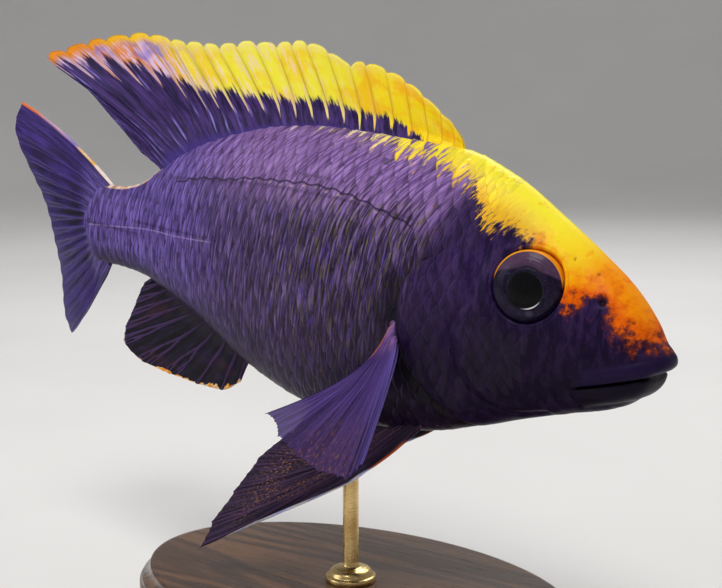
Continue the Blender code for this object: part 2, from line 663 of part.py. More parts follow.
def stand():
    turns = np.linspace(0, 2 * math.pi, 49)[:-1]
    rim = [(0.0, 0.97), (0.8, 1.0), (BASE_THICKNESS - BASE_EDGE, 1.0), (BASE_THICKNESS - 0.4, 0.975),
           (BASE_THICKNESS, 0.945)]
    foot = place(np.array([ROD_AT, 0.0, 0.0])) / MM
    rings = []
    for z, size in rim:
        x = foot[0] + BASE_LENGTH / 2 * size * np.cos(turns)
        y = foot[1] + BASE_WIDTH / 2 * size * np.sin(turns)
        rings.append(np.stack([x, y, z + 0 * x], -1) * MM)
    ring_mesh("stand_base", rings, "wood")
    belly = on_skin(ROD_AT, 180.0, GAP)
    top = place(belly) / MM
    turns = np.linspace(0, 2 * math.pi, 17)[:-1]
    start = BASE_THICKNESS + GAP
    profile = [(start, COLLAR_RADIUS), (start + COLLAR_HEIGHT * 0.6, COLLAR_RADIUS),
               (start + COLLAR_HEIGHT, COLLAR_RADIUS - 0.8), (start + COLLAR_HEIGHT, ROD_RADIUS),
               (top[2] - 0.25, ROD_RADIUS)]
    rings = []
    for z, radius in profile:
        x = foot[0] + radius * np.cos(turns)
        y = foot[1] + radius * np.sin(turns)
        rings.append(np.stack([x, y, z + 0 * x], -1) * MM)
    ring_mesh("stand_rod", rings, "brass")


for item in list(bpy.data.objects):
    bpy.data.objects.remove(item)
head()
torso()
tail_base()
dorsal_fin()
anal_fin()
caudal_fin()
for label, hand in (("right", 1), ("left", -1)):
    pelvic_fin("pelvic_fin_" + label, hand)
    pectoral_fin("pectoral_fin_" + label, hand)
    eye_ball("eye_" + label, hand, 0.0, "eye")
stand()
for item in bpy.context.scene.objects:
    item.data.set_sharp_from_angle(angle=math.radians(SHARP_FROM))
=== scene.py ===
"""The peacock cichlid display model, dressed: one skin, its scales, fins, eyes and the stand.

The fish is shaped in its own frame, in millimetres: s from the snout to the tail, w to its
right and z up. `place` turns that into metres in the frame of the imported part.
"""

import math

import bpy
import numpy as np
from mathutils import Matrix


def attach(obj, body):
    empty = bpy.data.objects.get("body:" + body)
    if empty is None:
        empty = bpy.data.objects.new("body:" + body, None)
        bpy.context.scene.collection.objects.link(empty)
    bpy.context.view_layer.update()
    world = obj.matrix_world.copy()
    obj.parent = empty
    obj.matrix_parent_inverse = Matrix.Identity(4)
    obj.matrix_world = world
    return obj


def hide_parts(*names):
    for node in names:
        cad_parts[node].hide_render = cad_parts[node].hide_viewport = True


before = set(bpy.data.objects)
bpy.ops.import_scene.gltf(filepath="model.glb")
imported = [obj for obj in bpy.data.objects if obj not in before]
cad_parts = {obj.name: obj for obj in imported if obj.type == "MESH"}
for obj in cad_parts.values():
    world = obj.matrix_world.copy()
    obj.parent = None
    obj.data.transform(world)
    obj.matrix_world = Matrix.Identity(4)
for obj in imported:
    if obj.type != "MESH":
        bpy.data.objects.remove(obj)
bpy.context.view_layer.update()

MM = 0.001

# The body, as the part's own source gives it.
STANDARD_LENGTH = 115.0
NOSE_DOWN = 5.6
PITCH_PIVOT = 40.25
AXIS_HEIGHT = 55.0
CENTRE_SHIFT = 30.18
TAIL_SWING_START = 78.0
TAIL_SWING = 2.0
BACK = [(1.0, -2.0), (1.1, -1.5), (1.4, -0.9), (2.0, -0.3), (3.0, 0.5), (4.7, 3.2), (8.4, 7.3),
        (12.5, 10.4), (19.9, 15.1), (27.6, 19.4), (36.0, 22.0), (46.0, 22.6), (58.0, 22.8),
        (69.0, 22.0), (80.0, 19.6), (91.0, 15.4), (97.0, 11.6), (102.5, 8.2), (108.0, 7.0),
        (115.0, 7.2)]
BELLY = [(1.0, -2.2), (1.1, -2.5), (1.5, -3.0), (2.6, -3.8), (3.3, -5.6), (4.7, -7.6), (8.2, -9.7),
         (16.6, -12.5), (29.4, -17.4), (37.0, -19.9), (45.0, -21.3), (53.0, -21.7), (61.0, -21.0),
         (68.0, -19.4), (74.6, -17.1), (84.0, -12.7), (93.0, -9.4), (100.0, -7.4), (106.0, -6.9),
         (115.0, -7.4)]
HALF_WIDTH = [(1.0, 0.4), (1.1, 1.2), (1.4, 2.3), (2.1, 3.3), (3.2, 4.1), (6.0, 5.2), (10.0, 6.0),
              (20.0, 7.4), (30.0, 8.5), (38.0, 9.1), (48.0, 9.3), (58.0, 8.9), (70.0, 7.3), (85.0, 4.9),
              (97.0, 3.3), (107.0, 2.3), (115.0, 1.6)]
WIDEST = [(1.0, -2.1), (3.0, -2.9), (10.0, -2.2), (20.0, -1.0), (35.0, -1.0), (55.0, 0.2), (115.0, 0.0)]
BACK_SHAPE, SNOUT_SHAPE, BELLY_SHAPE = 1.08, 0.74, 0.86
SNOUT_LENGTH = 16.0
MOUTH_START, MOUTH_CORNER = (0.9, -3.3), (11.6, -6.9)
MOUTH_ROW = 0.56
GILL_EDGE = [(31.5, 34.0), (32.0, 14.0), (33.0, 8.6), (36.4, 6.2), (38.6, 2.8), (39.3, -1.4),
             (38.0, -7.0), (33.8, -12.4), (28.2, -17.0), (25.5, -22.0), (23.0, -34.0)]
TAIL_EDGE = [(111.0, 9.5), (112.6, 6.6), (115.2, 3.4), (116.2, 0.0), (115.0, -3.6), (112.2, -6.9),
             (110.6, -9.5)]
EYE = (20.0, 5.6)
EYE_RADIUS, EYE_SUNK = 5.1, 1.5
EYE_FORWARD, EYE_UP = 14.0, 6.0
NOSTRIL = (9.9, 5.2)

# The fins' outlines over their rays, from the same source: as (ray, s, w, z), as (ray, s) along a foot, and
# ray by ray as (s, z) for the tips of the dorsal and the anal fin, which stand in the middle plane.
DORSAL_SPINES, DORSAL_RAYS = 17, 27
DORSAL_FEET = [(0, 36.0), (3, 42.2), (6, 51.2), (9, 59.8), (12, 69.3), (15, 78.1), (18, 85.4),
               (21, 90.8), (23, 93.7), (26, 97.0)]
DORSAL_TIPS = [(37.0, 23.4), (38.5, 25.2), (40.9, 26.9), (44.5, 29.2), (48.0, 30.9), (51.8, 32.1),
               (55.8, 32.9), (58.4, 32.4), (63.0, 34.3), (67.2, 34.8), (70.6, 34.7), (74.0, 34.3),
               (78.2, 34.3), (82.2, 33.8), (86.0, 33.3), (89.8, 33.3), (94.0, 33.2), (98.0, 33.6),
               (103.0, 33.9), (108.1, 33.4), (114.4, 32.4), (119.4, 31.1), (126.0, 29.5), (130.5, 28.1),
               (119.6, 24.0), (110.4, 18.7), (102.8, 13.8)]
DORSAL_BOW = 0.03
DORSAL_BORDER = [(0.0, -0.05), (2.4, -0.03), (3.2, 0.08), (4.0, 0.19), (5.0, 0.28), (7.0, 0.31),
                 (9.0, 0.33), (12.0, 0.36), (14.0, 0.45), (17.0, 0.50), (18.0, 0.56), (19.0, 0.68),
                 (20.0, 0.75), (21.0, 0.82), (22.0, 0.88), (23.0, 0.95), (23.6, 1.25), (26.0, 1.3)]
CAUDAL_RAYS = 16
TAIL_ROOT = (7.0, -7.3)
CAUDAL_TIPS = [(0, 140.4, -2.2, 18.9), (1.5, 142.0, -2.4, 14.3), (4, 138.6, -3.6, 5.8),
               (7.5, 134.0, -5.6, -3.8), (11, 132.3, -6.6, -13.6), (13.5, 131.2, -7.4, -21.2),
               (15, 129.6, -7.8, -25.0)]
CAUDAL_BEND = [(0.0, 0.67), (6.0, 0.5), (11.0, 0.5), (15.0, 0.64)]
ANAL_RAYS = 11
ANAL_ROOT = (74.6, 98.0)
ANAL_TIPS = [(76.2, -21.5), (80.6, -24.0), (86.6, -24.3), (93.4, -24.0), (99.8, -23.2), (105.3, -20.4),
             (105.0, -17.8), (103.9, -15.2), (102.7, -12.6), (101.5, -10.4), (100.3, -8.9)]
PELVIC_FOLD, PECTORAL_FOLD = (0.22, 1.2), (0.42, 0.8)
PELVIC_RAYS = 6
PELVIC_ROOT = ((36.2, 158.0), (41.6, 168.0))
PELVIC_TIPS = [(0, 49.0, 7.0, -30.5), (1, 72.6, 11.5, -46.5), (2, 71.4, 10.4, -42.0),
               (3, 68.8, 8.8, -36.5), (4, 65.4, 7.0, -30.5), (5, 60.6, 5.6, -25.2)]
PECTORAL_RAYS = 13
PECTORAL_ROOT = ((40.5, 92.0), (40.9, 108.0))
PECTORAL_KNEE = [(0, 38.4, 12.3, -9.2), (12, 34.8, 12.3, -1.8)]
PECTORAL_TIPS = [(0, 58.5, 14.0, -20.0), (3, 52.4, 15.5, -23.4), (6, 45.6, 16.4, -25.2),
                 (9, 40.4, 16.6, -24.9), (12, 38.6, 15.6, -22.6)]
FOOT_SUNK = 0.7
LOBE = [(0.0, 0.985), (0.15, 1.01), (0.4, 1.014), (0.7, 0.99), (0.92, 0.95), (1.0, 0.965)]
RAY_VARIES, FRAY, RAY_HALF = 0.007, 0.012, 0.2

# The blaze's lower edge and the lateral lines, as (s, z) on the flank.
BLAZE_EDGE = [(0.0, -1.0), (2.6, 0.2), (4.1, 0.3), (6.4, 1.0), (8.0, 2.2), (9.7, 4.0), (12.0, 4.6),
              (14.0, 4.0), (16.0, 5.4), (18.0, 7.6), (19.6, 9.8), (20.6, 11.0), (22.0, 11.6),
              (24.2, 13.0), (27.6, 12.9), (29.7, 15.5), (31.6, 17.8), (34.7, 18.6), (37.6, 19.8),
              (43.3, 21.2), (48.3, 21.9), (56.0, 22.5), (66.0, 23.6), (120.0, 25.0)]
UPPER_LINE = [(39.0, 11.0), (44.4, 12.4), (50.5, 13.7), (57.7, 14.3), (63.8, 14.0), (72.1, 13.4),
              (77.0, 12.5), (83.1, 11.9), (91.0, 10.0)]
PORE_PITCH = 2.44
LOWER_LINE = [(79.0, 2.1), (88.0, 1.5), (96.8, 1.3), (105.8, 0.4), (115.0, -0.6)]


# Shape of the body

def along(points, x):
    """A smooth curve through (x, y) pairs that doesn't overshoot them."""
    px, py = np.array(points, float).T
    step = np.diff(px)
    slope = np.diff(py) / step
    lean = np.zeros(len(px))
    lean[0], lean[-1] = slope[0], slope[-1]
    same = slope[:-1] * slope[1:] > 0
    before = 2 * step[1:] + step[:-1]
    after = step[1:] + 2 * step[:-1]
    mean = (before + after) / (before / np.where(same, slope[:-1], 1) + after / np.where(same, slope[1:], 1))
    lean[1:-1] = np.where(same, mean, 0)
    x = np.clip(np.asarray(x, float), px[0], px[-1])
    i = np.clip(np.searchsorted(px, x, side="right") - 1, 0, len(step) - 1)
    t = (x - px[i]) / step[i]
    rise = py[i] * (1 + 2 * t) * (1 - t) ** 2 + py[i + 1] * t * t * (3 - 2 * t)
    return rise + step[i] * (lean[i] * t * (1 - t) ** 2 - lean[i + 1] * t * t * (1 - t))


def ease(x):
    """0 below 0, 1 above 1, smooth between."""
    x = np.clip(x, 0, 1)
    return x * x * (3 - 2 * x)


def hump(x, width):
    """1 at 0, falling away smoothly over the width."""
    return np.exp(-((x / width) ** 2))


def unit(v):
    return v / np.maximum(np.linalg.norm(v, axis=-1, keepdims=True), 1e-9)


def section(s, theta):
    """Point of the plain body at s and the angle theta (0 on the back, 180 on the belly, right side)."""
    s, theta = np.broadcast_arrays(np.asarray(s, float), np.radians(theta))
    top, bottom, middle = along(BACK, s), along(BELLY, s), along(WIDEST, s)
    cosine = np.cos(theta)
    back = SNOUT_SHAPE + (BACK_SHAPE - SNOUT_SHAPE) * ease(s / SNOUT_LENGTH)
    belly = SNOUT_SHAPE + (BELLY_SHAPE - SNOUT_SHAPE) * ease(s / SNOUT_LENGTH)
    power = belly + (back - belly) * ease(0.5 + cosine)
    side = np.sign(np.sin(theta)) * np.abs(np.sin(theta)) ** power
    z = middle + cosine * np.where(cosine > 0, top - middle, middle - bottom)
    return np.stack([s, along(HALF_WIDTH, s) * side, z], -1)


def outward(s, theta):
    """Unit normal of the plain body."""
    ds = section(np.asarray(s) + 0.05, theta) - section(np.asarray(s) - 0.05, theta)
    dt = section(s, np.asarray(theta) + 0.5) - section(s, np.asarray(theta) - 0.5)
    return unit(np.cross(ds, dt))


def on_skin(s, theta, lift):
    """Point over the plain body by the lift, along its normal."""
    return section(s, theta) + outward(s, theta) * np.asarray(lift)[..., None]


def side_angle(s, z):
    """The angle at which the plain body has the height z."""
    top, bottom, middle = along(BACK, s), along(BELLY, s), along(WIDEST, s)
    cosine = np.where(z > middle, (z - middle) / (top - middle), (z - middle) / (middle - bottom))
    return np.degrees(np.arccos(np.clip(cosine, -0.999, 0.999)))


def place(points):
    """World position, in metres, of points of the fish's frame: the swung tail, then the pitch."""
    points = np.asarray(points, float)
    s, w, z = points[..., 0], points[..., 1], points[..., 2]
    radius = (STANDARD_LENGTH - TAIL_SWING_START) / math.radians(TAIL_SWING)
    beyond = np.maximum(s - TAIL_SWING_START, 0)
    turn = np.minimum(beyond, STANDARD_LENGTH - TAIL_SWING_START) / radius
    rest = beyond - turn * radius
    x = -(np.minimum(s, TAIL_SWING_START) + radius * np.sin(turn) + rest * np.cos(turn)) - w * np.sin(turn)
    y = radius * (1 - np.cos(turn)) + rest * np.sin(turn) - w * np.cos(turn)
    x = x + PITCH_PIVOT
    c, n = math.cos(math.radians(NOSE_DOWN)), math.sin(math.radians(NOSE_DOWN))
    return np.stack([c * x + n * z + CENTRE_SHIFT, y, -n * x + c * z + AXIS_HEIGHT], -1) * MM


def mouth_line(s):
    """Height of the slit between the lips at s."""
    (s0, z0), (s1, z1) = MOUTH_START, MOUTH_CORNER
    return z0 + (z1 - z0) * (s - s0) / (s1 - s0)


def gill_edge(z):
    """s of the gill cover's rear edge at the height z."""
    return along(sorted((height, s) for s, height in GILL_EDGE), z)


def tail_edge(z):
    """s of the tail root's rear end at the height z."""
    return along(sorted((height, s) for s, height in TAIL_EDGE), z)


# Relief of the skin, in mm along its normal

GILL_RISE, GILL_SINK, GILL_RAMP = 0.55, 0.45, 7.0
GILL_REAR, TAIL_REAR = 39.3, 116.2
# The gill cover's lip, over its front and rear face, as places from GILL_REAR: where the cover is flush with
# the body, and where it stands out, with its lift there.
GILL_LIP = [(-0.6, -0.75, 0.555), (-0.45, -0.3, 0.54), (-0.3, -0.06, 0.46), (-0.18, 0.0, 0.32),
            (-0.06, -0.06, 0.14), (0.06, -0.28, 0.0), (0.18, -0.5, -0.16), (0.3, -0.45, -0.38),
            (0.5, -0.12, -0.43), (0.8, 0.4, -0.41), (1.2, 1.1, -0.32)]
# The groove between cheek and gill cover, and the pores, as (s, z).
PREOPERCLE = [(27.6, 2.6), (29.6, 0.6), (30.6, -3.0), (29.6, -7.6), (26.6, -11.4), (22.0, -12.9),
              (17.0, -11.9)]
JAW_PORES = [(4.6, -8.4), (7.6, -9.3), (11.0, -10.4), (14.8, -11.4), (18.6, -12.2), (22.6, -12.4),
             (26.2, -10.6), (28.6, -7.4), (29.4, -3.6)]
FACE_PORES = [(15.0, 9.9), (9.0, 2.8), (12.6, 0.9), (16.4, -1.4), (20.6, -2.2), (24.4, -0.6),
              (7.0, 1.6), (11.6, 8.4), (26.4, 3.6), (5.6, 3.0)]


def gill_level(z):
    """How much the gill cover stands out at the height z."""
    return ease((12.0 - z) / 8.0) * ease((z + 19.0) / 6.0)


def round_side(theta):
    """Less towards the back and the belly, where both gill covers meet."""
    return np.clip(np.sin(np.radians(theta)) * 3.0, 0.35, 1)


def gill_relief(s, z, covered):
    """The gill cover rises to its rear edge; what it covers sinks behind that edge."""
    ahead = gill_edge(z) - s
    behind = -GILL_SINK * ease(1 + np.minimum(ahead, 0) / 3.0)
    front = GILL_RISE * ease(1 - np.maximum(ahead, 0) / GILL_RAMP)
    return gill_level(z) * np.where(covered, behind, front)


def lip_relief(s, z):
    """Both lips, the folds beside them and the mouth between them."""
    up = z - mouth_line(s)
    here = ease((MOUTH_CORNER[0] + 1.5 - s) / 5.0)
    full = 0.2 + 0.8 * ease((s - 1.5) / 4.0)
    upper = full * (0.42 * np.sin(np.pi * np.clip(up / 2.5, 0, 1)) - 0.12 * hump(up - 2.75, 0.34))
    lower = 0.42 * np.sin(np.pi * np.clip(-up / 2.9, 0, 1)) - 0.16 * hump(up + 3.2, 0.36)
    slit = (0.55 + 0.35 * ease((s - 1.6) / 3.0)) * ease((MOUTH_CORNER[0] + 1.0 - s) / 1.6)
    return here * (upper + lower) - slit * hump(up, 0.15)


def stroke(s, z, path, width):
    """1 on a path of (s, z) points and 0 away from it, with no cap beyond its ends."""
    best = np.full(np.shape(s), 1e9)
    for (s0, z0), (s1, z1) in zip(path[:-1], path[1:]):
        reach = np.hypot(s1 - s0, z1 - z0)
        t = np.clip(((s - s0) * (s1 - s0) + (z - z0) * (z1 - z0)) / reach**2, 0, 1)
        best = np.minimum(best, np.hypot(s - s0 - t * (s1 - s0), z - z0 - t * (z1 - z0)))
    return hump(best, width)


def smooth_path(path, count=24):
    """More points along a path, rounded at its corners."""
    path = np.array(path, float)
    reach = np.concatenate([[0], np.cumsum(np.hypot(*np.diff(path, axis=0).T))])
    t = np.linspace(0, reach[-1], count)
    return [(float(a), float(b)) for a, b in zip(along(list(zip(reach, path[:, 0])), t),
                                                 along(list(zip(reach, path[:, 1])), t))]


def face_relief(s, z):
    """Eye socket, nostril, pores, jaw and cheek lines of the head, and where its small pits are."""
    far = np.hypot(s - EYE[0], z - EYE[1])
    lift = 0.35 * hump(far - EYE_RADIUS - 0.5, 1.1) - 2.3 * ease((EYE_RADIUS + 0.15 - far) / 0.6)
    near = np.hypot((s - NOSTRIL[0]) / 1.2, z - NOSTRIL[1])
    lift += 0.10 * hump(near - 0.95, 0.3) - 0.7 * hump(near, 0.46)
    pit = hump(near, 0.56)
    groove = smooth_path(PREOPERCLE)
    lift -= 0.34 * stroke(s, z, groove, 0.42)
    lift += 0.18 * stroke(s + 1.4, z - 0.5, groove, 1.1)
    lift -= 0.34 * stroke(s, z, smooth_path([(11.4, -5.4), (12.9, -6.6), (13.2, -8.2), (12.0, -9.4)]), 0.4)
    lift -= 0.16 * stroke(s, z, smooth_path([(8.6, -0.9), (13.0, -2.8), (15.4, -5.6), (15.6, -8.8)]), 0.45)
    for row, depth in ((JAW_PORES, 0.08), (FACE_PORES, 0.13)):
        for a, b in row:
            pore = hump(np.hypot(s - a, z - b), 0.27)
            lift -= depth * pore
            pit = np.maximum(pit, 0.75 * pore)
    for k in range(4):
        fold = smooth_path([(9.0 + 5.0 * k, -12.0 - 1.7 * k), (16.0 + 4.0 * k, -14.2 - 1.4 * k),
                            (22.0 + 2.5 * k, -17.0 - 0.8 * k)])
        lift -= 0.03 * stroke(s, z, fold, 0.34)
    fade = ease((44.0 - s) / 6.0)
    return lift * fade, pit * fade


def skin_relief(s, theta, z):
    """Lift of the skin along its normal, and its pits."""
    ahead = s < gill_edge(z)
    lift = gill_relief(s, z, ~ahead) * round_side(theta)
    face, pit = face_relief(s, z)
    return lift + lip_relief(s, z) + face, pit


# Making pieces

def wind_out(points, quads):
    """The quads, turned round where they would face inward."""
    corners = points[quads]
    middle = points.mean(0)
    a, b, c, d = (corners[:, k] - middle for k in range(4))
    volume = np.einsum("ij,ij->i", a, np.cross(b, c)).sum() + np.einsum("ij,ij->i", a, np.cross(c, d)).sum()
    return quads if volume > 0 else quads[:, ::-1]


def piece(name, world, faces, finish, notes=()):
    """An object from points in metres, with the numbers that its finish reads at each point."""
    mesh = bpy.data.meshes.new(name)
    mesh.from_pydata(world.tolist(), [], faces)
    mesh.shade_smooth()
    for label, values in notes:
        kind, field = ("FLOAT_VECTOR", "vector") if values.ndim == 2 else ("FLOAT", "value")
        mesh.attributes.new(label, kind, "POINT").data.foreach_set(field, values.astype(np.float32).ravel())
    made = bpy.data.objects.new(name, mesh)
    bpy.context.scene.collection.objects.link(made)
    mesh.materials.append(finish)
    return made


def carry(made, slot, *nodes):
    """Puts a piece on the model's one body, in the place of the nodes it stands for."""
    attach(made, "root")
    if nodes:
        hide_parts(*nodes)
    return made


def ring_quads(rings, count):
    """Quads of a closed tube of rings."""
    at = np.arange(rings * count).reshape(rings, count)
    right = np.roll(at, -1, axis=1)
    return np.stack([at[:-1], right[:-1], right[1:], at[1:]], -1).reshape(-1, 4)


def caps(rings, count):
    """The first and the last ring of a tube as faces."""
    return [list(range(count)), list(range((rings - 1) * count, rings * count))[::-1]]


def sheet_quads(rows, columns):
    """Quads of a grid of points."""
    at = np.arange(rows * columns).reshape(rows, columns)
    return np.stack([at[:-1, :-1], at[1:, :-1], at[1:, 1:], at[:-1, 1:]], -1).reshape(-1, 4)


def rim_of(grid):
    """The numbers round the edge of a grid of numbers, from its first row on."""
    return np.concatenate([grid[0], grid[1:, -1], grid[-1, -2::-1], grid[-2:0:-1, 0]])


def turned(name, profile, turns, centre, finish, squash=(1.0, 1.0)):
    """A piece turned about an upright axis from (radius, height) pairs in mm."""
    phi = np.linspace(0, 2 * math.pi, turns, endpoint=False)
    rings = [np.stack([centre[0] + r * squash[0] * np.cos(phi), centre[1] + r * squash[1] * np.sin(phi),
                       0 * phi + h], -1) for r, h in profile]
    points = np.concatenate(rings)
    quads = wind_out(points, ring_quads(len(rings), turns))
    ends = [end[::-1] for end in caps(len(rings), turns)]
    return piece(name, points * MM, quads.tolist() + ends, finish)


# Finishes

WHOLE_LENGTH = (0.0, 120.0)
GROWTH_RINGS, RAY_JOINTS, WOOD_RINGS = 46.0, 330.0, 42.0


def paint(colour):
    """A colour of whole numbers from 0 to 255 as the shader's linear one; any other value as it is."""
    if not (isinstance(colour, tuple) and all(isinstance(value, int) for value in colour)):
        return colour
    shares = [value / 255 for value in colour]
    return tuple(c / 12.92 if c <= 0.04045 else ((c + 0.055) / 1.055) ** 2.4 for c in shares)


class Wire:
    """A value in a node tree, for sums and products of such values."""

    def __init__(self, bench, socket):
        self.bench, self.socket = bench, socket

    def __add__(self, other):
        return self.bench.math("ADD", self, other)

    def __sub__(self, other):
        return self.bench.math("SUBTRACT", self, other)

    def __rsub__(self, other):
        return self.bench.math("SUBTRACT", other, self)

    def __mul__(self, other):
        return self.bench.math("MULTIPLY", self, other)

    def __truediv__(self, other):
        return self.bench.math("DIVIDE", self, other)

    def __abs__(self):
        return self.bench.math("ABSOLUTE", self)


class Bench:
    """Lays the nodes of one material or group by short calls, each of which gives back its wire."""

    def __init__(self, tree):
        self.tree = tree

    def feed(self, socket, value):
        if isinstance(value, Wire):
            self.tree.links.new(value.socket, socket)
        elif value is not None:
            wide = hasattr(socket.default_value, "__len__")
            socket.default_value = (*value, 1.0) if wide and len(value) < len(socket.default_value) else value

    def node(self, kind, given=(), **settings):
        """A node, its settings and what its sockets are given, by their order or as a dict."""
        made = self.tree.nodes.new("ShaderNode" + kind)
        for key, value in settings.items():
            setattr(made, key, value)
        for key, value in given.items() if isinstance(given, dict) else enumerate(given):
            self.feed(made.inputs[key], value)
        return made

    def lay(self, kind, given, out=0, **settings):
        return Wire(self, self.node(kind, given, **settings).outputs[out])

    def wires(self, node):
        return {socket.name: Wire(self, socket) for socket in node.outputs}

    def math(self, operation, a, b=None):
        return self.lay("Math", (a, b), operation=operation)

    def vector(self, operation, a, b, out=0):
        return self.lay("VectorMath", (a, b), out, operation=operation)

    def mix(self, factor, a, b, blend="MIX"):
        """The colour a, and b where the factor is 1."""
        return self.lay("Mix", {0: factor, 6: paint(a), 7: paint(b)}, 2, data_type="RGBA", blend_type=blend)

    def between(self, value, low, high, out_low=0.0, out_high=1.0):
        """The value taken smoothly from one range to another."""
        return self.lay("MapRange", (value, low, high, out_low, out_high), interpolation_type="SMOOTHSTEP",
                        clamp=True)

    def noise(self, where, scale, detail=2.0, rough=0.5, warp=0.0):
        return self.lay("TexNoise", {"Vector": where, "Scale": scale, "Detail": detail, "Roughness": rough,
                                     "Distortion": warp}, "Fac")

    def distance(self, a, b):
        return self.vector("DISTANCE", a, b, "Value")

    def split(self, vector):
        return self.wires(self.node("SeparateXYZ", (vector,))).values()

    def join(self, x, y, z):
        return self.lay("CombineXYZ", (x, y, z))

    def attribute(self, name):
        return self.wires(self.node("Attribute", attribute_name=name))

    def object_place(self):
        return self.wires(self.node("TexCoord"))["Object"]

    def curve(self, value, points, x_range, y_range):
        """The value through a curve of (x, y) points."""
        (x0, x1), (y0, y1) = x_range, y_range
        made = self.node("FloatCurve", {"Value": (value - x0) / (x1 - x0)})
        line = made.mapping.curves[0]
        for k, (x, y) in enumerate(points):
            x, y = (x - x0) / (x1 - x0), (y - y0) / (y1 - y0)
            if k < 2:
                line.points[k].location = (x, y)
            else:
                line.points.new(x, y)
        made.mapping.update()
        return Wire(self, made.outputs[0]) * (y1 - y0) + y0

    def bump(self, height, strength, distance):
        return self.lay("Bump", {"Strength": strength, "Distance": distance, "Height": height})

    def use(self, group, **given):
        made = self.node("Group", node_tree=group)
        for key, value in given.items():
            self.feed(made.inputs[key], value)
        return self.wires(made)


def new_group(name, inputs, outputs):
    """A node group with named sockets, its bench, its inputs and its output node."""
    tree = bpy.data.node_groups.new(name, "ShaderNodeTree")
    for label, kind, value in inputs:
        socket = tree.interface.new_socket(label, in_out="INPUT", socket_type="NodeSocket" + kind)
        if value is not None:
            socket.default_value = value
    for label, kind in outputs:
        tree.interface.new_socket(label, in_out="OUTPUT", socket_type="NodeSocket" + kind)
    bench = Bench(tree)
    given, out = tree.nodes.new("NodeGroupInput"), tree.nodes.new("NodeGroupOutput")
    return tree, bench, bench.wires(given), out.inputs


def new_finish(name, **plain):
    """A material with a Principled shader, plain values on its sockets, its bench and its sockets."""
    made = bpy.data.materials.new(name)
    made.use_nodes = True
    shader, bench = made.node_tree.nodes["Principled BSDF"].inputs, Bench(made.node_tree)
    for key, value in plain.items():
        bench.feed(shader[key.replace("_", " ")], value)
    return made, bench, shader


def finish_surface(b, shader, colour, mask, rough, bump):
    """Feeds a finish: its colour, its roughness over a mask, and a bump (height, strength, depth)."""
    b.feed(shader["Base Color"], colour)
    b.feed(shader["Roughness"], b.between(mask, 0.3, 0.7, *rough))
    if bump:
        b.feed(shader["Normal"], b.bump(*bump))


def leaning(b, s, z):
    """s taken along streaks that are upright low down and lean forward above the lateral line."""
    above = b.math("MAXIMUM", z - 8.0, 0.0)
    return above * above * 0.045 + z * 0.10 + s


def flank_colour(b, s, w, z, true_place):
    """Violet sides under fine upright streaks of light violet, olive, blue and dark, lighter above with
    painted light and darker below with painted shade.
    """
    true_s, _, true_z = b.split(true_place)
    lean = leaning(b, true_s, true_z)
    broad = b.noise(b.join(leaning(b, s, z) * 0.5, w, z * 0.09), 1.0, 3.0, 0.6)
    fine = b.noise(b.join(lean * 2.4, 7.0, true_z * 0.2), 1.0, 3.0, 0.65)
    hue = b.noise(b.join(lean * 1.9, 3.0, true_z * 0.28), 1.0, 3.0, 0.6)
    colour = b.mix(b.between(fine, 0.36, 0.64), (38, 22, 54), (96, 72, 124))
    light = b.between(fine, 0.53, 0.66) * b.between(broad, 0.36, 0.62, 0.25, 0.9)
    colour = b.mix(light, colour, (140, 116, 178))
    colour = b.mix(b.between(hue, 0.43, 0.33, 0.0, 0.7), colour, (72, 60, 160))
    # Lighter upper flank: partly its own paler colour, partly painted light from above.
    upper = b.mix(b.between(fine, 0.36, 0.64), (104, 72, 134), (170, 132, 200))
    colour = b.mix(b.between(z, 7.5, 15.5, 0.0, 0.85), colour, upper)
    rear = b.mix(b.between(fine, 0.36, 0.66), (58, 40, 110), (130, 106, 196))
    colour = b.mix(b.between(s, 70.0, 94.0, 0.0, 0.85), colour, rear)
    fore = b.between(s, 72.0, 52.0) * b.between(z, 17.0, 12.0)
    olive = b.between(hue, 0.51, 0.61) * fore * 0.85
    colour = b.mix(olive, colour, b.mix(b.between(fine, 0.40, 0.62), (58, 52, 34), (118, 108, 70)))
    shadow = b.between(fine, 0.50, 0.40) * fore * 0.6
    colour = b.mix(shadow, colour, (28, 18, 34))
    # Darker low down: partly the belly's own dark colour, partly painted shade.
    colour = b.mix(b.between(z, -2.0, -15.0, 0.0, 0.68), colour, (28, 14, 50))
    # Painted shade along the lower contour, where the underside turns away from the light.
    over_belly = z - b.curve(s, BELLY, WHOLE_LENGTH, (-25.0, 10.0))
    colour = b.mix(b.between(over_belly, 4.5, 0.8, 0.0, 0.8), colour, (26, 13, 46))
    sparks = b.noise(b.join(lean * 2.0, w, true_z * 1.1), 1.0, 1.0)
    return b.mix(b.between(sparks, 0.74, 0.80, 0.0, 0.8), colour, (160, 96, 66))


def blaze_colour(b, s, w, over, grain):
    """Yellow, paler on the ridge, orange towards the snout and deep orange and brown at the border."""
    near = b.mix(b.between(s, 22.5, 17.0), (238, 184, 44), (252, 140, 2))
    gold = b.mix(b.between(over, 1.2, 5.0), near, (255, 216, 14))
    gold = b.mix(b.between(s, 20.0, 7.0, 0.0, 0.9), gold, (254, 152, 6))
    ridge = b.between(abs(w), 5.4, 1.6) * b.between(s, 9.0, 22.0)
    gold = b.mix(ridge * 0.85, gold, (255, 244, 60))
    gold = b.mix(b.between(grain, 0.58, 0.72, 0.0, 0.4), gold, (238, 112, 6))
    fore = b.between(s, 22.5, 17.0, 0.08, 0.85)
    gold = b.mix(b.between(over, 2.4, 0.6) * fore, gold, (226, 84, 4))
    gold = b.mix(b.between(s, 44.0, 56.0, 0.0, 0.7), gold, (244, 226, 214))
    return b.mix(b.between(over, 0.9, -0.2) * fore, gold, (96, 36, 14))


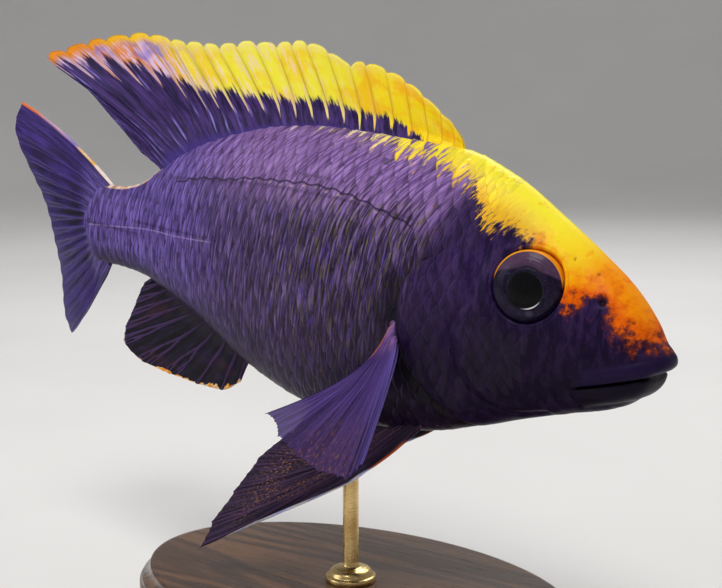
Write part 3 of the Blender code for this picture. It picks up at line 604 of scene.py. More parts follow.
def markings_and_shade_group():
    """Colours of the fish, with painted shade low down, behind the gill cover and in the mouth, and painted
    light above: Fish is where the pattern is read, Place the true place for the thin lines.
    """
    tree, b, given, out = new_group(
        "fish_markings", [("Fish", "Vector", None), ("Place", "Vector", None), ("Chance", "Float", 0.5)],
        [("Colour", "Color"), ("Blaze", "Float")])
    s, w, z = b.split(given["Fish"])
    flank = flank_colour(b, s, w, z, given["Place"])
    dusk = b.noise(b.vector("MULTIPLY", given["Place"], (1.1, 0.8, 0.35)), 1.0, 4.0, 0.65)
    # The cover and face grow darker downward: partly their own dark colour, partly painted shade.
    cover = b.mix(b.between(z, 4.0, -12.0), (54, 34, 86), (25, 12, 42))
    face = b.mix(b.between(z, 5.0, -7.0), (38, 22, 66), (13, 5, 26))
    face = b.mix(b.between(s, 25.0, 31.0), face, cover)
    face = b.mix(b.between(dusk, 0.44, 0.62, 0.0, 0.45), face, (72, 50, 92))
    face = b.mix(b.between(dusk, 0.52, 0.38, 0.0, 0.5), face, (16, 9, 24))
    head = b.between(z * 0.35 + s, 41.0, 36.0)
    colour = b.mix(head, flank, face)
    shade = b.between(s, 60.0, 42.0) * b.between(z, 8.0, -6.0)
    colour = b.mix(shade * 0.6, colour, (23, 12, 40))
    # Painted shadow in a band just behind the gill cover's edge.
    levels = np.linspace(-16.0, 12.0, 12)
    behind = s - b.curve(z, list(zip(levels, gill_edge(levels))), (-16.0, 12.0), (20.0, 45.0))
    gill_shadow = b.between(behind, 5.5, 0.8) * b.between(behind, -0.8, 0.0) * b.between(z, 9.0, 1.0)
    colour = b.mix(gill_shadow * 0.85, colour, (12, 7, 16))
    grain = b.noise(b.vector("MULTIPLY", given["Fish"], (0.75, 0.4, 0.75)), 1.0, 4.0, 0.65)
    along_edge, across_edge = z * 0.7 + s, z - s * 0.7
    flecks = b.noise(b.join(along_edge * 2.3, across_edge * 0.5, 2.0), 1.0, 3.0, 0.6)
    scaled = b.between(s, 21.0, 26.0)
    mixed = flecks * scaled + grain * (1.0 - scaled)
    edge = b.curve(s, BLAZE_EDGE, WHOLE_LENGTH, (-10.0, 30.0))
    ragged = (mixed - 0.5) * b.between(s, 18.0, 34.0, 8.5, 11.0)
    loose = (given["Chance"] - 0.5) * b.between(s, 26.0, 42.0, 0.0, 1.5)
    over = z - edge + ragged + loose
    spot = b.distance(given["Fish"], (10.6, 4.6, 4.6))
    over = over - b.between(spot, 2.4, 0.7, 0.0, 2.2)
    over = over * b.between(s, 18.0, 10.0, 1.0, 0.5)
    blaze = b.between(over, -0.8, 0.7)
    colour = b.mix(blaze, colour, blaze_colour(b, s, w, over, grain))
    s, _, z = b.split(given["Place"])
    lips = z + s * 0.336 + 3.0
    upper_lip = b.between(lips, 2.9, 2.3) * b.between(s, 13.0, 10.0)
    lip = b.mix(b.between(lips, -0.2, 0.6), (20, 12, 30), (32, 20, 54))
    colour = b.mix(upper_lip * b.between(lips, -3.6, -3.0), colour, lip)
    # Painted shade in the slit between the lips.
    inside = b.between(abs(lips), 0.32, 0.12) * b.between(s, 13.0, 12.0)
    colour = b.mix(inside, colour, (6, 3, 9))
    colour = lateral_lines(b, colour, s, z)
    top = b.curve(s, BACK, WHOLE_LENGTH, (-10.0, 30.0)) - z
    flicker = b.noise(b.join(s, 0.0, 9.0), 1.3, 2.0)
    pale = b.between(s, 96.0, 98.0) * b.between(top, 0.55, 0.28)
    cream = b.mix(b.between(flicker, 0.44, 0.58), (240, 214, 200), (236, 168, 84))
    colour = b.mix(pale, colour, cream)
    b.feed(out["Colour"], colour)
    b.feed(out["Blaze"], blaze)
    return tree


def lateral_lines(b, colour, s, z):
    """The upper line, dark with pale ticks on every scale, and the lower one, thin and pale."""
    share = b.math("FRACT", s / PORE_PITCH)
    wiggle = b.math("SINE", s * 1.9) * 0.14
    level = b.curve(s, UPPER_LINE, (39.0, 91.0), (0.0, 16.0)) + wiggle
    reach = b.between(s, 38.5, 39.5) * b.between(s, 91.5, 90.5)
    off = z - level
    line = b.between(abs(off), 0.22, 0.07) * reach
    colour = b.mix(line * 0.85, colour, (40, 22, 52))
    slanted = abs(off * 0.35 + share - 0.42)
    tick = b.between(slanted, 0.22, 0.08) * b.between(abs(off + 0.48), 0.22, 0.08)
    ticked = b.between(s, 73.0, 69.0) * b.between(s, 43.0, 47.0)
    uneven = b.noise(b.join(s * 0.6, 5.0, 0.0), 1.0, 2.0)
    ticked = ticked * b.between(uneven, 0.38, 0.56, 0.05, 0.5)
    colour = b.mix(tick * ticked, colour, (186, 166, 146))
    nick = b.between(slanted, 0.12, 0.05) * b.between(abs(off - 0.6), 0.45, 0.2)
    colour = b.mix(nick * ticked, colour, (34, 18, 46))
    level = b.curve(s, LOWER_LINE, (79.0, 115.0), (-3.0, 16.0))
    reach = b.between(s, 79.0, 80.0) * b.between(s, 115.0, 113.0)
    line = b.between(abs(z - level), 0.17, 0.06) * reach
    return b.mix(line * 0.6, colour, (166, 140, 200))


def grain_group():
    """Fine pores and mottling of skin over a point's place in mm."""
    tree, b, given, out = new_group("fine_grain", [("Fish", "Vector", None), ("Size", "Float", 1.0)],
                                    [("Height", "Float"), ("Mottle", "Float")])
    where = b.vector("MULTIPLY", given["Fish"], b.join(given["Size"], given["Size"], given["Size"]))
    pores = b.noise(where, 2.6, 3.0, 0.6)
    mottle = b.noise(where, 0.35, 4.0, 0.65, 0.4)
    b.feed(out["Height"], mottle * 0.6 + pores * 0.5)
    b.feed(out["Mottle"], mottle)
    return tree


def ray_group():
    """Masks of a fin over (ray, share of its height, raised): rays, furrows, joints, streaks, flecks."""
    inputs = [("Fin", "Vector", None), ("Streaks", "Float", 5.0), ("Flecks", "Vector", (8.0, 40.0, 0.0))]
    masks = ("Ray", "Furrow", "Joints", "Streak", "Blotch", "Fleck", "Height")
    tree, b, given, out = new_group("fin_rays", inputs, [(label, "Float") for label in masks])
    u, v, raised = b.split(given["Fin"])
    b.feed(out["Ray"], b.between(raised, 0.15, 0.75))
    b.feed(out["Furrow"], b.between(raised, 0.10, 0.0))
    joints = b.math("SINE", v * RAY_JOINTS)
    b.feed(out["Joints"], b.between(joints, 0.55, 0.95) * b.between(raised, 0.3, 0.8))
    along_rays = b.join(u * given["Streaks"], v * 3.2, 0.0)
    streak = b.noise(along_rays, 1.0, 4.0, 0.7, 0.25)
    b.feed(out["Streak"], streak)
    b.feed(out["Blotch"], b.noise(b.join(u * 0.55, v * 3.0, 4.0), 1.0, 3.0))
    flecks = b.noise(b.vector("MULTIPLY", b.join(u, v, 1.0), given["Flecks"]), 1.0, 2.0, 0.6)
    b.feed(out["Fleck"], b.between(flecks, 0.56, 0.64))
    b.feed(out["Height"], joints * 0.12 + streak)
    return tree


def skin_finish(markings_and_shade, grain):
    """Bare skin of the head and between the scales: the markings and painted shade, mottled, with painted
    shade in its pits.
    """
    made, b, shader = new_finish("fish_skin", Coat_Weight=0.04, Coat_Roughness=0.2, Specular_IOR_Level=0.06)
    fish, pit = b.attribute("fish")["Vector"], b.attribute("pit")["Fac"]
    colour = b.use(markings_and_shade, Fish=fish, Place=fish)
    fine = b.use(grain, Fish=fish, Size=1.0)
    mottled = b.between(fine["Mottle"], 0.35, 0.7, 0.0, 0.45) * (1.0 - colour["Blaze"] * 0.85)
    shade = b.mix(mottled, colour["Colour"], (0.5, 0.42, 0.6), "MULTIPLY")
    # Painted shade in the nostrils and pores.
    shade = b.mix(b.between(pit, 0.15, 0.8, 0.0, 0.92), shade, (24, 10, 26))
    finish_surface(b, shader, shade, fine["Mottle"], (0.36, 0.52), (fine["Height"], 0.35, 0.00012))
    return made


def scale_finish(markings_and_shade, grain):
    """The coat: the same markings and painted shade, each scale its own tone, with a pale rim that is partly
    painted highlight, painted shade at its root, and fine growth rings.
    """
    made, b, shader = new_finish("fish_scales", Coat_Weight=0.07, Coat_Roughness=0.2, Specular_IOR_Level=0.11)
    x, y, tube = b.split(b.attribute("scale")["Vector"])
    chance = b.attribute("chance")["Fac"]
    fish, true_place = b.attribute("fish")["Vector"], b.attribute("place")["Vector"]
    colour = b.use(markings_and_shade, Fish=fish, Place=true_place, Chance=chance)
    fine = b.use(grain, Fish=true_place, Size=1.6)
    own = chance * 0.24 + 0.87
    shade = b.mix(1.0, colour["Colour"], b.join(own, own, own), "MULTIPLY")
    rim_tint = b.mix(colour["Blaze"], (120, 98, 160), (255, 226, 96))
    s, _, z = b.split(true_place)
    # Pale rim at each scale's rear edge: partly the rim's own colour, partly painted highlight, weaker low
    # down and on the head.
    rim = b.between(x, 0.62, 1.0, 0.0, 0.26) * b.between(fine["Mottle"], 0.40, 0.60)
    rim = rim * b.between(z, -9.0, 1.0, 0.08, 1.0) * b.between(s, 39.0, 44.0, 0.3, 1.0)
    shade = b.mix(rim, shade, rim_tint)
    # Painted shade at the scale's front, where it tucks under the scale ahead.
    under = b.between(x, 0.25, -0.2, 0.0, 0.5) * (1.0 - colour["Blaze"] * 0.8)
    shade = b.mix(under, shade, (24, 12, 32))
    shade = b.mix(b.between(tube, 0.3, 0.9) * 0.35, shade, (40, 22, 52))
    sheen = b.between(chance, 0.1, 0.9, 0.03, 0.16) * b.between(x, -0.2, 0.6)
    b.feed(shader["Metallic"], sheen)
    round_root = b.math("SQRT", y * y + x * x)
    rings = b.math("SINE", round_root * GROWTH_RINGS)
    height = rings * 0.16 + fine["Height"]
    finish_surface(b, shader, shade, fine["Mottle"], (0.30, 0.46), (height, 0.4, 0.00008))
    return made


def dorsal_colour(b, web, u, v):
    """Yellow lobes over a ragged dark foot, violet soft rays with an orange and white tip margin."""
    streak, blotch = web["Streak"], web["Blotch"]
    share = b.math("FRACT", u)
    yellow = b.mix(b.between(blotch, 0.44, 0.62), (255, 242, 64), (255, 220, 40))
    golden = b.mix(b.between(blotch, 0.44, 0.62), (255, 222, 20), (255, 192, 10))
    yellow = b.mix(b.between(u, 9.0, 4.0), yellow, golden)
    pale = b.between(v, 0.84, 1.0) * b.between(u, 4.0, 9.0, 0.3, 0.7)
    yellow = b.mix(pale, yellow, (255, 246, 130))
    lit = b.between(streak, 0.50, 0.64) * b.between(u, 5.0, 13.0, 0.1, 0.85)
    yellow = b.mix(lit, yellow, (254, 222, 184))
    furrow = b.between(share, 0.86, 0.97) * b.between(v, 1.0, 0.4, 0.25, 0.6)
    yellow = b.mix(furrow, yellow, (206, 128, 14))
    late = b.mix(b.between(streak, 0.42, 0.58), (236, 142, 44), (226, 196, 232))
    late = b.mix(b.between(blotch, 0.50, 0.64, 0.0, 0.7), late, (110, 92, 206))
    margin = b.between(streak * 0.12 + v, 0.96, 1.03)
    late = b.mix(margin, late, b.mix(b.between(u, 18.0, 21.5), (255, 206, 34), (244, 146, 20)))
    bright = b.mix(b.between(streak * 3.0 + u, 16.6, 20.6), yellow, late)
    dark = b.mix(b.between(streak, 0.38, 0.62), (34, 20, 62), (76, 52, 120))
    ray_tint = b.mix(b.between(blotch, 0.46, 0.62), (62, 46, 116), (150, 138, 226))
    lines = web["Ray"] * b.between(u, 11.0, 16.0, 0.15, 0.8)
    dark = b.mix(lines * b.between(streak, 0.40, 0.56, 0.3, 1.0), dark, ray_tint)
    dark = b.mix(b.between(v, 0.10, 0.02, 0.0, 0.7), dark, (70, 52, 138))
    border = b.curve(u, DORSAL_BORDER, (0.0, 26.0), (-0.1, 1.3))
    rear_of_ray = b.between(abs(share - 0.14), 0.16, 0.04)
    spikes = rear_of_ray * b.between(u, 2.0, 7.0, 0.04, 0.20)
    ragged = (streak - 0.5) * 0.42
    over = v - border + spikes + ragged
    colour = b.mix(b.between(over, -0.03, 0.05), dark, bright)
    fringe = b.between(over, 0.26, 0.04) * b.between(over, -0.02, 0.04)
    fringe = fringe * rear_of_ray * b.between(u, 4.0, 9.0)
    fringe = fringe * b.between(blotch, 0.36, 0.56, 0.2, 0.8)
    colour = b.mix(fringe, colour, (232, 190, 200))
    return colour


def tail_colour(b, web, u, v):
    """Dark violet with darker furrows, a scaled foot and an upper rim from cream to orange."""
    streak, blotch = web["Streak"], web["Blotch"]
    colour = b.mix(b.between(streak, 0.40, 0.64), (36, 18, 76), (70, 46, 136))
    colour = b.mix(web["Ray"] * 0.4, colour, (72, 52, 130))
    furrow = web["Furrow"] * b.between(blotch, 0.42, 0.60, 0.2, 0.9)
    furrow = furrow * b.between(v, 1.0, 0.55, 0.25, 1.0)
    furrow = furrow * b.between(abs(u - 7.5), 6.5, 4.0, 0.25, 1.0)
    colour = b.mix(furrow, colour, (17, 8, 32))
    colour = b.mix(b.between(web["Joints"], 0.2, 1.0, 0.0, 0.3), colour, (22, 12, 44))
    rim = b.mix(b.between(v, 0.40, 0.62), (142, 118, 206), (206, 160, 190))
    rim = b.mix(b.between(v, 0.70, 0.86), rim, (236, 124, 62))
    low = b.mix(b.between(streak, 0.44, 0.56), (242, 222, 214), (240, 176, 70))
    rim = b.mix(b.between(v, 0.42, 0.34), rim, low)
    wide = b.between(v, 0.9, 0.45, 0.0, 0.06) - b.between(v, 0.36, 0.16, 0.0, 0.12)
    colour = b.mix(b.between(u - wide, 0.17, 0.07), colour, rim)
    sheath = b.mix(b.between(streak, 0.40, 0.62), (58, 42, 104), (104, 86, 160))
    colour = b.mix(b.between(v, 0.34, 0.12) * b.between(u, 0.2, 0.5), colour, sheath)
    return colour


def anal_colour(b, web, u, v):
    """Nearly black between violet rays, with orange spots along its edge."""
    streak, blotch = web["Streak"], web["Blotch"]
    colour = b.mix(b.between(streak, 0.45, 0.66), (13, 7, 20), (38, 24, 58))
    colour = b.mix(web["Ray"] * b.between(v, 0.05, 0.4, 0.3, 0.85), colour, (74, 50, 98))
    colour = b.mix(b.between(blotch, 0.54, 0.68, 0.0, 0.5), colour, (62, 30, 44))
    patches = b.noise(b.join(u * 1.7, 0.0, 5.0), 1.0, 3.0, 0.6)
    depth = b.between(u, 2.6, 0.3, 0.05, 0.17)
    inner = 1.0 - depth * b.between(patches, 0.42, 0.60)
    spots = b.math("GREATER_THAN", v, inner)
    tint = b.mix(b.between(streak, 0.44, 0.56), (240, 150, 20), (244, 206, 150))
    colour = b.mix(spots * b.between(u, 4.4, 3.8), colour, tint)
    tip = b.between(abs(u - 5.1), 0.3, 0.15) * b.between(v, 0.975, 0.985)
    colour = b.mix(tip, colour, (230, 222, 226))
    return colour


def pelvic_colour(b, web, u, v):
    """Brown violet with gold flecks and a bright front edge."""
    streak, blotch = web["Streak"], web["Blotch"]
    colour = b.mix(b.between(streak, 0.42, 0.62), (27, 15, 38), (58, 38, 70))
    colour = b.mix(web["Ray"] * 0.4, colour, (88, 62, 98))
    gold = web["Fleck"] * b.between(blotch, 0.42, 0.54)
    gold = gold * b.between(u, 1.2, 2.2, 0.1, 1.0) * b.between(v, 0.97, 0.8, 0.2, 1.0)
    colour = b.mix(gold * 0.8, colour, (168, 116, 58))
    rim = b.between(v, 0.72, 0.78) * b.between(u, 1.04, 0.96)
    edge = b.math("MAXIMUM", b.between(u, 0.14, 0.07), rim)
    colour = b.mix(edge * b.between(v, 0.56, 0.66), colour,
                   b.mix(b.between(streak, 0.38, 0.54), (168, 176, 246), (250, 246, 252)))
    root = b.between(abs(v - 0.42), 0.22, 0.12) * b.between(u, 0.07, 0.03)
    colour = b.mix(root, colour, (206, 96, 34))
    return colour


def pectoral_colour(b, web, u, v):
    """Thin violet web, a pale stalk, a painted highlight along the upper rays and an orange rear edge where
    the fan begins.
    """
    streak, blotch = web["Streak"], web["Blotch"]
    colour = b.mix(b.between(streak, 0.36, 0.66), (54, 36, 94), (92, 66, 142))
    colour = b.mix(web["Ray"] * 0.25, colour, (92, 70, 132))
    furrows = b.noise(b.join(u * 0.9, v * 1.2, 8.0), 1.0, 2.0)
    furrows = b.between(furrows, 0.55, 0.66) * b.between(u, 9.0, 6.0)
    colour = b.mix(furrows * 0.7, colour, (36, 22, 66))
    # A painted highlight along the upper rays.
    front = b.between(u, 7.0, 11.5) * b.between(v, 0.28, 0.5)
    colour = b.mix(front * 0.75, colour, (112, 94, 176))
    stalk = b.mix(b.between(blotch, 0.42, 0.62), (134, 98, 158), (98, 70, 142))
    colour = b.mix(b.between(v, 0.44, 0.26), colour, stalk)
    orange = b.between(abs(v - 0.25), 0.18, 0.08) * b.between(u, 0.55, 0.2)
    colour = b.mix(orange * 0.85, colour, (226, 128, 48))
    outer = b.between(v, 0.68, 0.98) * b.between(u, 2.0, 4.5)
    outer = outer * b.between(u, 11.2, 9.0)
    colour = b.mix(outer * 0.7, colour, (68, 44, 82))
    colour = b.mix(web["Fleck"] * outer * 0.55, colour, (158, 104, 66))
    return colour


# Each fin's colouring, streaks, flecks, roughness, bump strength and depth, and how clear it gets at its end.
FIN_WEBS = {
    "dorsal": (dorsal_colour, 4.0, None, (0.38, 0.52), (0.35, 0.00010), 0.0),
    "tail": (tail_colour, 4.5, None, (0.34, 0.48), (0.45, 0.00014), 0.0),
    "anal": (anal_colour, 5.0, None, (0.34, 0.48), (0.45, 0.00014), 0.0),
    "pelvic": (pelvic_colour, 7.0, (17.0, 64.0, 2.0), (0.36, 0.50), (0.4, 0.00012), 0.0),
    "pectoral": (pectoral_colour, 4.0, (8.0, 40.0, 5.0), (0.34, 0.48), (0.4, 0.00012), 0.22),
}


def fin_finish(fin, rays):
    """The web of a fin, over (ray, share of the ray's length, how far it is raised)."""
    colouring, streaks, flecks, rough, bump, clear = FIN_WEBS[fin]
    made, b, shader = new_finish(fin + "_fin_web", Coat_Weight=0.04, Coat_Roughness=0.25,
                                 Specular_IOR_Level=0.10)
    where = b.attribute("fin")["Vector"]
    u, v, _ = b.split(where)
    web = b.use(rays, Fin=where, Streaks=streaks, Flecks=flecks)
    finish_surface(b, shader, colouring(b, web, u, v), web["Streak"], rough, (web["Height"], *bump))
    if clear:
        b.feed(shader["Alpha"], 1.0 - b.between(v, 0.6, 1.0) * b.between(u, 9.0, 3.0, 0.06, clear))
    return made


def iris_finish():
    """The eye under its clear dome, with a painted glint and a painted reflection, over (forward, up,
    distance from its middle) in mm.
    """
    made, b, shader = new_finish("eye_iris", Coat_Weight=0.18, Coat_Roughness=0.06, Specular_IOR_Level=0.06)
    eye = b.attribute("eye")["Vector"]
    ahead, up, far = b.split(eye)
    fibres = b.noise(eye, 1.8, 5.0, 0.7, 0.8)
    colour = b.mix(b.between(fibres, 0.40, 0.65), (16, 9, 28), (36, 26, 60))
    bow = up - 2.2 + ahead * ahead * 0.045
    crescent = b.between(bow, 0.0, 0.4) * b.between(far, 2.7, 2.9)
    colour = b.mix(crescent * 0.9, colour, b.mix(fibres, (54, 34, 60), (98, 70, 98)))
    ring = b.between(far, 4.68, 4.80) * b.between(up, 0.2, 1.8)
    colour = b.mix(ring, colour, b.mix(fibres, (236, 128, 10), (252, 180, 40)))
    low = up + 0.45
    reach = b.math("SQRT", low * low + ahead * ahead)
    colour = b.mix(b.between(reach, 2.52, 2.38), colour, (3, 2, 5))
    angle = b.math("ARCTAN2", low, ahead)
    share = (angle + 1.12) / 0.60
    taper = b.math("SQRT", b.math("MAXIMUM", 1.0 - share * share, 0.0))
    off = abs(reach - 2.5)
    glint = b.between(taper * 0.09 - off, -0.02, 0.05)
    shine = b.mix(b.between(ahead, -0.4, 1.2), (150, 140, 170), (255, 255, 255))
    colour = b.mix(glint, colour, shine)
    # A painted reflection: a faint grey patch below the glint.
    painted_reflection = b.distance(eye, (0.9, -3.5, 3.6))
    colour = b.mix(b.between(painted_reflection, 0.8, 0.2, 0.0, 0.5), colour, (92, 80, 108))
    finish_surface(b, shader, colour, fibres, (0.34, 0.5), (fibres, 0.3, 0.0001))
    return made


def cornea_finish():
    """Clear glass, thin enough not to bend what lies under it."""
    made, b, shader = new_finish("eye_cornea", Transmission_Weight=1.0, IOR=1.03, Base_Color=(1.0, 1.0, 1.0))
    film = b.noise(b.attribute("eye")["Vector"], 0.8, 2.0)
    b.feed(shader["Roughness"], b.between(film, 0.3, 0.7, 0.0, 0.03))
    return made


def wood_finish():
    """Dark oiled walnut, its grain along the base."""
    made, b, shader = new_finish("stand_walnut", Coat_Weight=0.35, Coat_Roughness=0.14)
    where = b.object_place()
    long = b.vector("MULTIPLY", where, (18.0, 190.0, 160.0))
    rings = b.noise(b.vector("MULTIPLY", where, (6.0, 60.0, 40.0)), 1.0, 2.0, 0.5, 1.2)
    grain = b.noise(long, 6.0, 5.0, 0.65, 0.6)
    growth = b.math("SINE", rings * WOOD_RINGS)
    colour = b.mix(b.between(growth, -0.7, 0.9), (0.055, 0.022, 0.010), (0.135, 0.060, 0.026))
    colour = b.mix(b.between(grain, 0.52, 0.70, 0.0, 0.7), colour, (0.025, 0.010, 0.006))
    finish_surface(b, shader, colour, grain, (0.24, 0.42), (grain, 0.25, 0.0001))
    return made


def brass_finish():
    """Brushed brass with a little tarnish."""
    made, b, shader = new_finish("stand_brass", Metallic=1.0)
    where = b.object_place()
    brushed = b.noise(b.vector("MULTIPLY", where, (900.0, 900.0, 9000.0)), 1.0, 3.0, 0.6)
    tarnish = b.noise(where, 160.0, 4.0, 0.6)
    colour = b.mix(b.between(tarnish, 0.4, 0.7), (0.78, 0.56, 0.24), (0.58, 0.38, 0.15))
    finish_surface(b, shader, colour, brushed, (0.20, 0.38), (brushed, 0.15, 0.00004))
    return made


def floor_finish():
    """Pale matt studio paper."""
    made, b, shader = new_finish("studio_sweep", Specular_IOR_Level=0.25)
    mottle = b.noise(b.object_place(), 9.0, 3.0)
    colour = b.mix(b.between(mottle, 0.3, 0.7), (0.74, 0.73, 0.715), (0.77, 0.76, 0.745))
    finish_surface(b, shader, colour, mottle, (0.62, 0.72), None)
    return made


# The skin

def row_angles(s, share):
    """Angles of the skin's rows, which follow the mouth on the snout."""
    bottom, middle = along(BELLY, s), along(WIDEST, s)
    aim = np.clip(mouth_line(s), bottom + 0.15 * (middle - bottom), middle - 0.05)
    mouth = np.degrees(np.arccos(-(middle - aim) / (middle - bottom)))
    mouth = mouth + (180 * MOUTH_ROW - mouth) * ease((s - MOUTH_CORNER[0]) / 8.0)
    below = mouth + (share - MOUTH_ROW) / (1 - MOUTH_ROW) * (180 - mouth)
    return np.where(share < MOUTH_ROW, share / MOUTH_ROW * mouth, below)


def fish_skin(finish):
    """One closed skin from the lips to the tail root, bent to run along the gill cover's edge."""
    # Stations from the snout back, closest at the snout, with both faces of the gill cover's lip among them
    front_part = 1.01 + 37.4 * np.linspace(0, 1, 150) ** 1.35
    lip = np.array(GILL_LIP)
    behind = np.concatenate([np.arange(GILL_REAR + 1.55, 99.3, 0.44), np.linspace(99.5, TAIL_REAR, 42)])
    stations = np.concatenate([front_part, GILL_REAR + lip[:, 0], behind])[:, None]
    flush = np.concatenate([0 * front_part, lip[:, 1] - lip[:, 0], 0 * behind])[:, None]
    edge_lift = np.concatenate([0 * front_part, lip[:, 2], 0 * behind])[:, None]
    at_lip = np.zeros(len(stations), bool)
    at_lip[len(front_part):len(front_part) + len(lip)] = True
    # Rows from back to belly as shares of a half ring, closest along the mouth
    near = MOUTH_ROW + 0.09 * np.sign(np.linspace(-1, 1, 37)) * np.abs(np.linspace(-1, 1, 37)) ** 1.5
    share = np.concatenate([np.linspace(0, near[0], 42)[:-1], near, np.linspace(near[-1], 1, 36)[1:]])[None]
    # The stations bend to the gill cover's edge and to the tail fin's foot
    bend = ease((stations - 14.0) / 25.3) * ease((66.0 - stations) / 26.7)
    tail_bend = ease((stations - 97.0) / 19.2)
    s = stations + 0 * share
    for _ in range(5):
        theta = row_angles(s, share)
        z = section(s, theta)[..., 2]
        s = stations + bend * (gill_edge(z) - GILL_REAR) + tail_bend * (tail_edge(z) - TAIL_REAR)
    s = s + flush * gill_level(z)
    plain = section(s, theta)
    z = plain[..., 2]
    lift, pit = skin_relief(s, theta, z)
    lift = np.where(at_lip[:, None], edge_lift * gill_level(z) * round_side(theta), lift)
    points = plain + outward(s, theta) * lift[..., None]
    # The tail root rounds off in width to its end
    points[..., 1] *= np.sqrt(np.clip(1 - (np.maximum(stations - 110.2, 0) / 6.05) ** 2, 0.01, 1))
    points[:, 0, 1] = 0
    points[:, -1, 1] = 0
    ring, marks = (np.concatenate([half, (half * [1, -1, 1])[:, -2:0:-1]], 1) for half in (points, plain))
    pits = np.concatenate([pit, pit[:, -2:0:-1]], 1)
    rings, count = ring.shape[:2]
    flat = place(ring.reshape(-1, 3))
    quads = wind_out(flat, ring_quads(rings, count))
    return piece("fish_skin", flat, quads.tolist() + caps(rings, count), finish,
                 [("fish", marks.reshape(-1, 3)), ("pit", pits.ravel())])


# The coat of scales

def arc_angles():
    """Angles of the plain body over s and the arc from its widest line, up positive, and the ridge's arc."""
    stations = np.linspace(2.0, 118.0, 291)
    theta = np.linspace(0, 180, 241)
    points = section(stations[:, None], theta[None, :])
    step = np.hypot(*np.moveaxis(np.diff(points[..., 1:], axis=1), -1, 0))
    reach = np.concatenate([np.zeros((len(stations), 1)), np.cumsum(step, 1)], 1)
    arcs = np.linspace(-36.0, 36.0, 289)
    rows, tops = [], []
    for line in reach:
        q = np.interp(90.0, theta, line) - line
        rows.append(np.interp(arcs, q[::-1], theta[::-1]))
        tops.append(q[0])
    return stations, arcs, np.array(rows), np.array(tops)


def read_table(table, s, q):
    """The angle at s and the arc q, read between the table's rows."""
    stations, arcs, rows, _ = table
    i = np.clip((s - stations[0]) / (stations[1] - stations[0]), 0, len(stations) - 1.001)
    j = np.clip((q - arcs[0]) / (arcs[1] - arcs[0]), 0, len(arcs) - 1.001)
    a, b = i.astype(int), j.astype(int)
    i, j = i - a, j - b
    low = rows[a, b] * (1 - j) + rows[a, b + 1] * j
    high = rows[a + 1, b] * (1 - j) + rows[a + 1, b + 1] * j
    return low * (1 - i) + high * i


def lattice(start, stop, pitch, height):
    """Roots (s, q) of scales in columns a pitch apart, every other column half a scale higher."""
    roots = []
    s, column = start, 0
    while s < stop:
        high = height(s)
        for row in range(-9, 10):
            roots.append((s, (row + 0.5 * (column % 2)) * high, pitch(s), high))
        s += pitch(s)
        column += 1
    return np.array(roots)


def seat(table, roots):
    """s, height and angle of the roots."""
    s, q = roots[:, 0], roots[:, 1]
    theta = read_table(table, s, q)
    return s, section(s, theta)[:, 2], theta


def nape_roots(table):
    """Small scales of the nape, in rows from its ridge down."""
    roots = []
    for column, s in enumerate(np.arange(25.0, 33.6, 0.78)):
        high = 1.9 + 0.2 * (s - 25.0)
        top = np.interp(s, table[0], table[3])
        roots += [(s, top - 0.4 - (row + 0.5 * (column % 2)) * high, 0.78, high) for row in range(10)]
    roots = np.array(roots)
    s, z, _ = seat(table, roots)
    far = np.hypot(s - EYE[0], z - EYE[1])
    return roots[(z > 9.0) & (far > 8.4) & (s < gill_edge(z) + 0.7) & (s > 25.3 + 0.35 * (20.0 - z))]


def body_roots(table):
    """Scales of the flank and the tail root."""
    roots = lattice(24.0, 116.0, lambda s: 1.22 - 0.22 * ease((s - 80) / 25),
                    lambda s: 5.2 - 1.1 * ease((s - 60) / 45))
    s, z, theta = seat(table, roots)
    inside = (theta > 2.5) & (theta < 177.0) & (s + roots[:, 2] < tail_edge(z) - 0.1)
    return roots[(s > gill_edge(z) + 0.2) & inside]


def cheek_roots(table):
    """Scales of the gill cover and, smaller, of the cheek."""
    groove = sorted((z, s) for s, z in PREOPERCLE if z > -11.5)
    cover = lattice(28.0, 40.0, lambda s: 1.15, lambda s: 4.0)
    s, z, _ = seat(table, cover)
    cover = cover[(s > along(groove, z) + 1.6) & (s < gill_edge(z) - 1.6) & (z < 8.5) & (z > -13.0)]
    cheek = lattice(18.5, 30.0, lambda s: 0.92, lambda s: 2.7)
    s, z, _ = seat(table, cheek)
    groove = along(groove, z)
    far = np.hypot(s - EYE[0], z - EYE[1])
    keep = (s < groove - 1.9) & (far > 7.4) & (z < 1.5) & (z > -9.6) & (s > 18.5 - 0.25 * z)
    return np.concatenate([cover, cheek[keep]])


SCALE_ROWS, SCALE_COLUMNS, SCALE_THICKNESS = 8, 11, 0.09
SCALE_POINTS = SCALE_ROWS * SCALE_COLUMNS
SCALE_RIM = rim_of(np.arange(SCALE_POINTS).reshape(SCALE_ROWS, SCALE_COLUMNS))
MAP_SPAN, MAP_PATCH = 130.0, 0.003


def plate_faces(count, side):
    """Faces of all scales: their tops and edges, and one face beneath each."""
    edge = len(SCALE_RIM)
    step, turn = SCALE_POINTS + edge, 1 if side < 0 else -1
    low = SCALE_POINTS + np.arange(edge)
    skirt = np.stack([SCALE_RIM, low, np.roll(low, -1), np.roll(SCALE_RIM, -1)], -1)
    faces = np.concatenate([sheet_quads(SCALE_ROWS, SCALE_COLUMNS)[:, ::-1], skirt])[:, ::turn]
    every = (faces[None] + (np.arange(count) * step)[:, None, None]).reshape(-1, 4).tolist()
    return every + (low[None, ::-turn] + (np.arange(count) * step)[:, None]).tolist()


def top_and_rim(values, under=None):
    """The values over each scale's top, then those round its edge beneath."""
    values = values.reshape(len(values), SCALE_POINTS, -1)
    under = values if under is None else under.reshape(values.shape)
    return np.concatenate([values, under[:, SCALE_RIM]], 1)


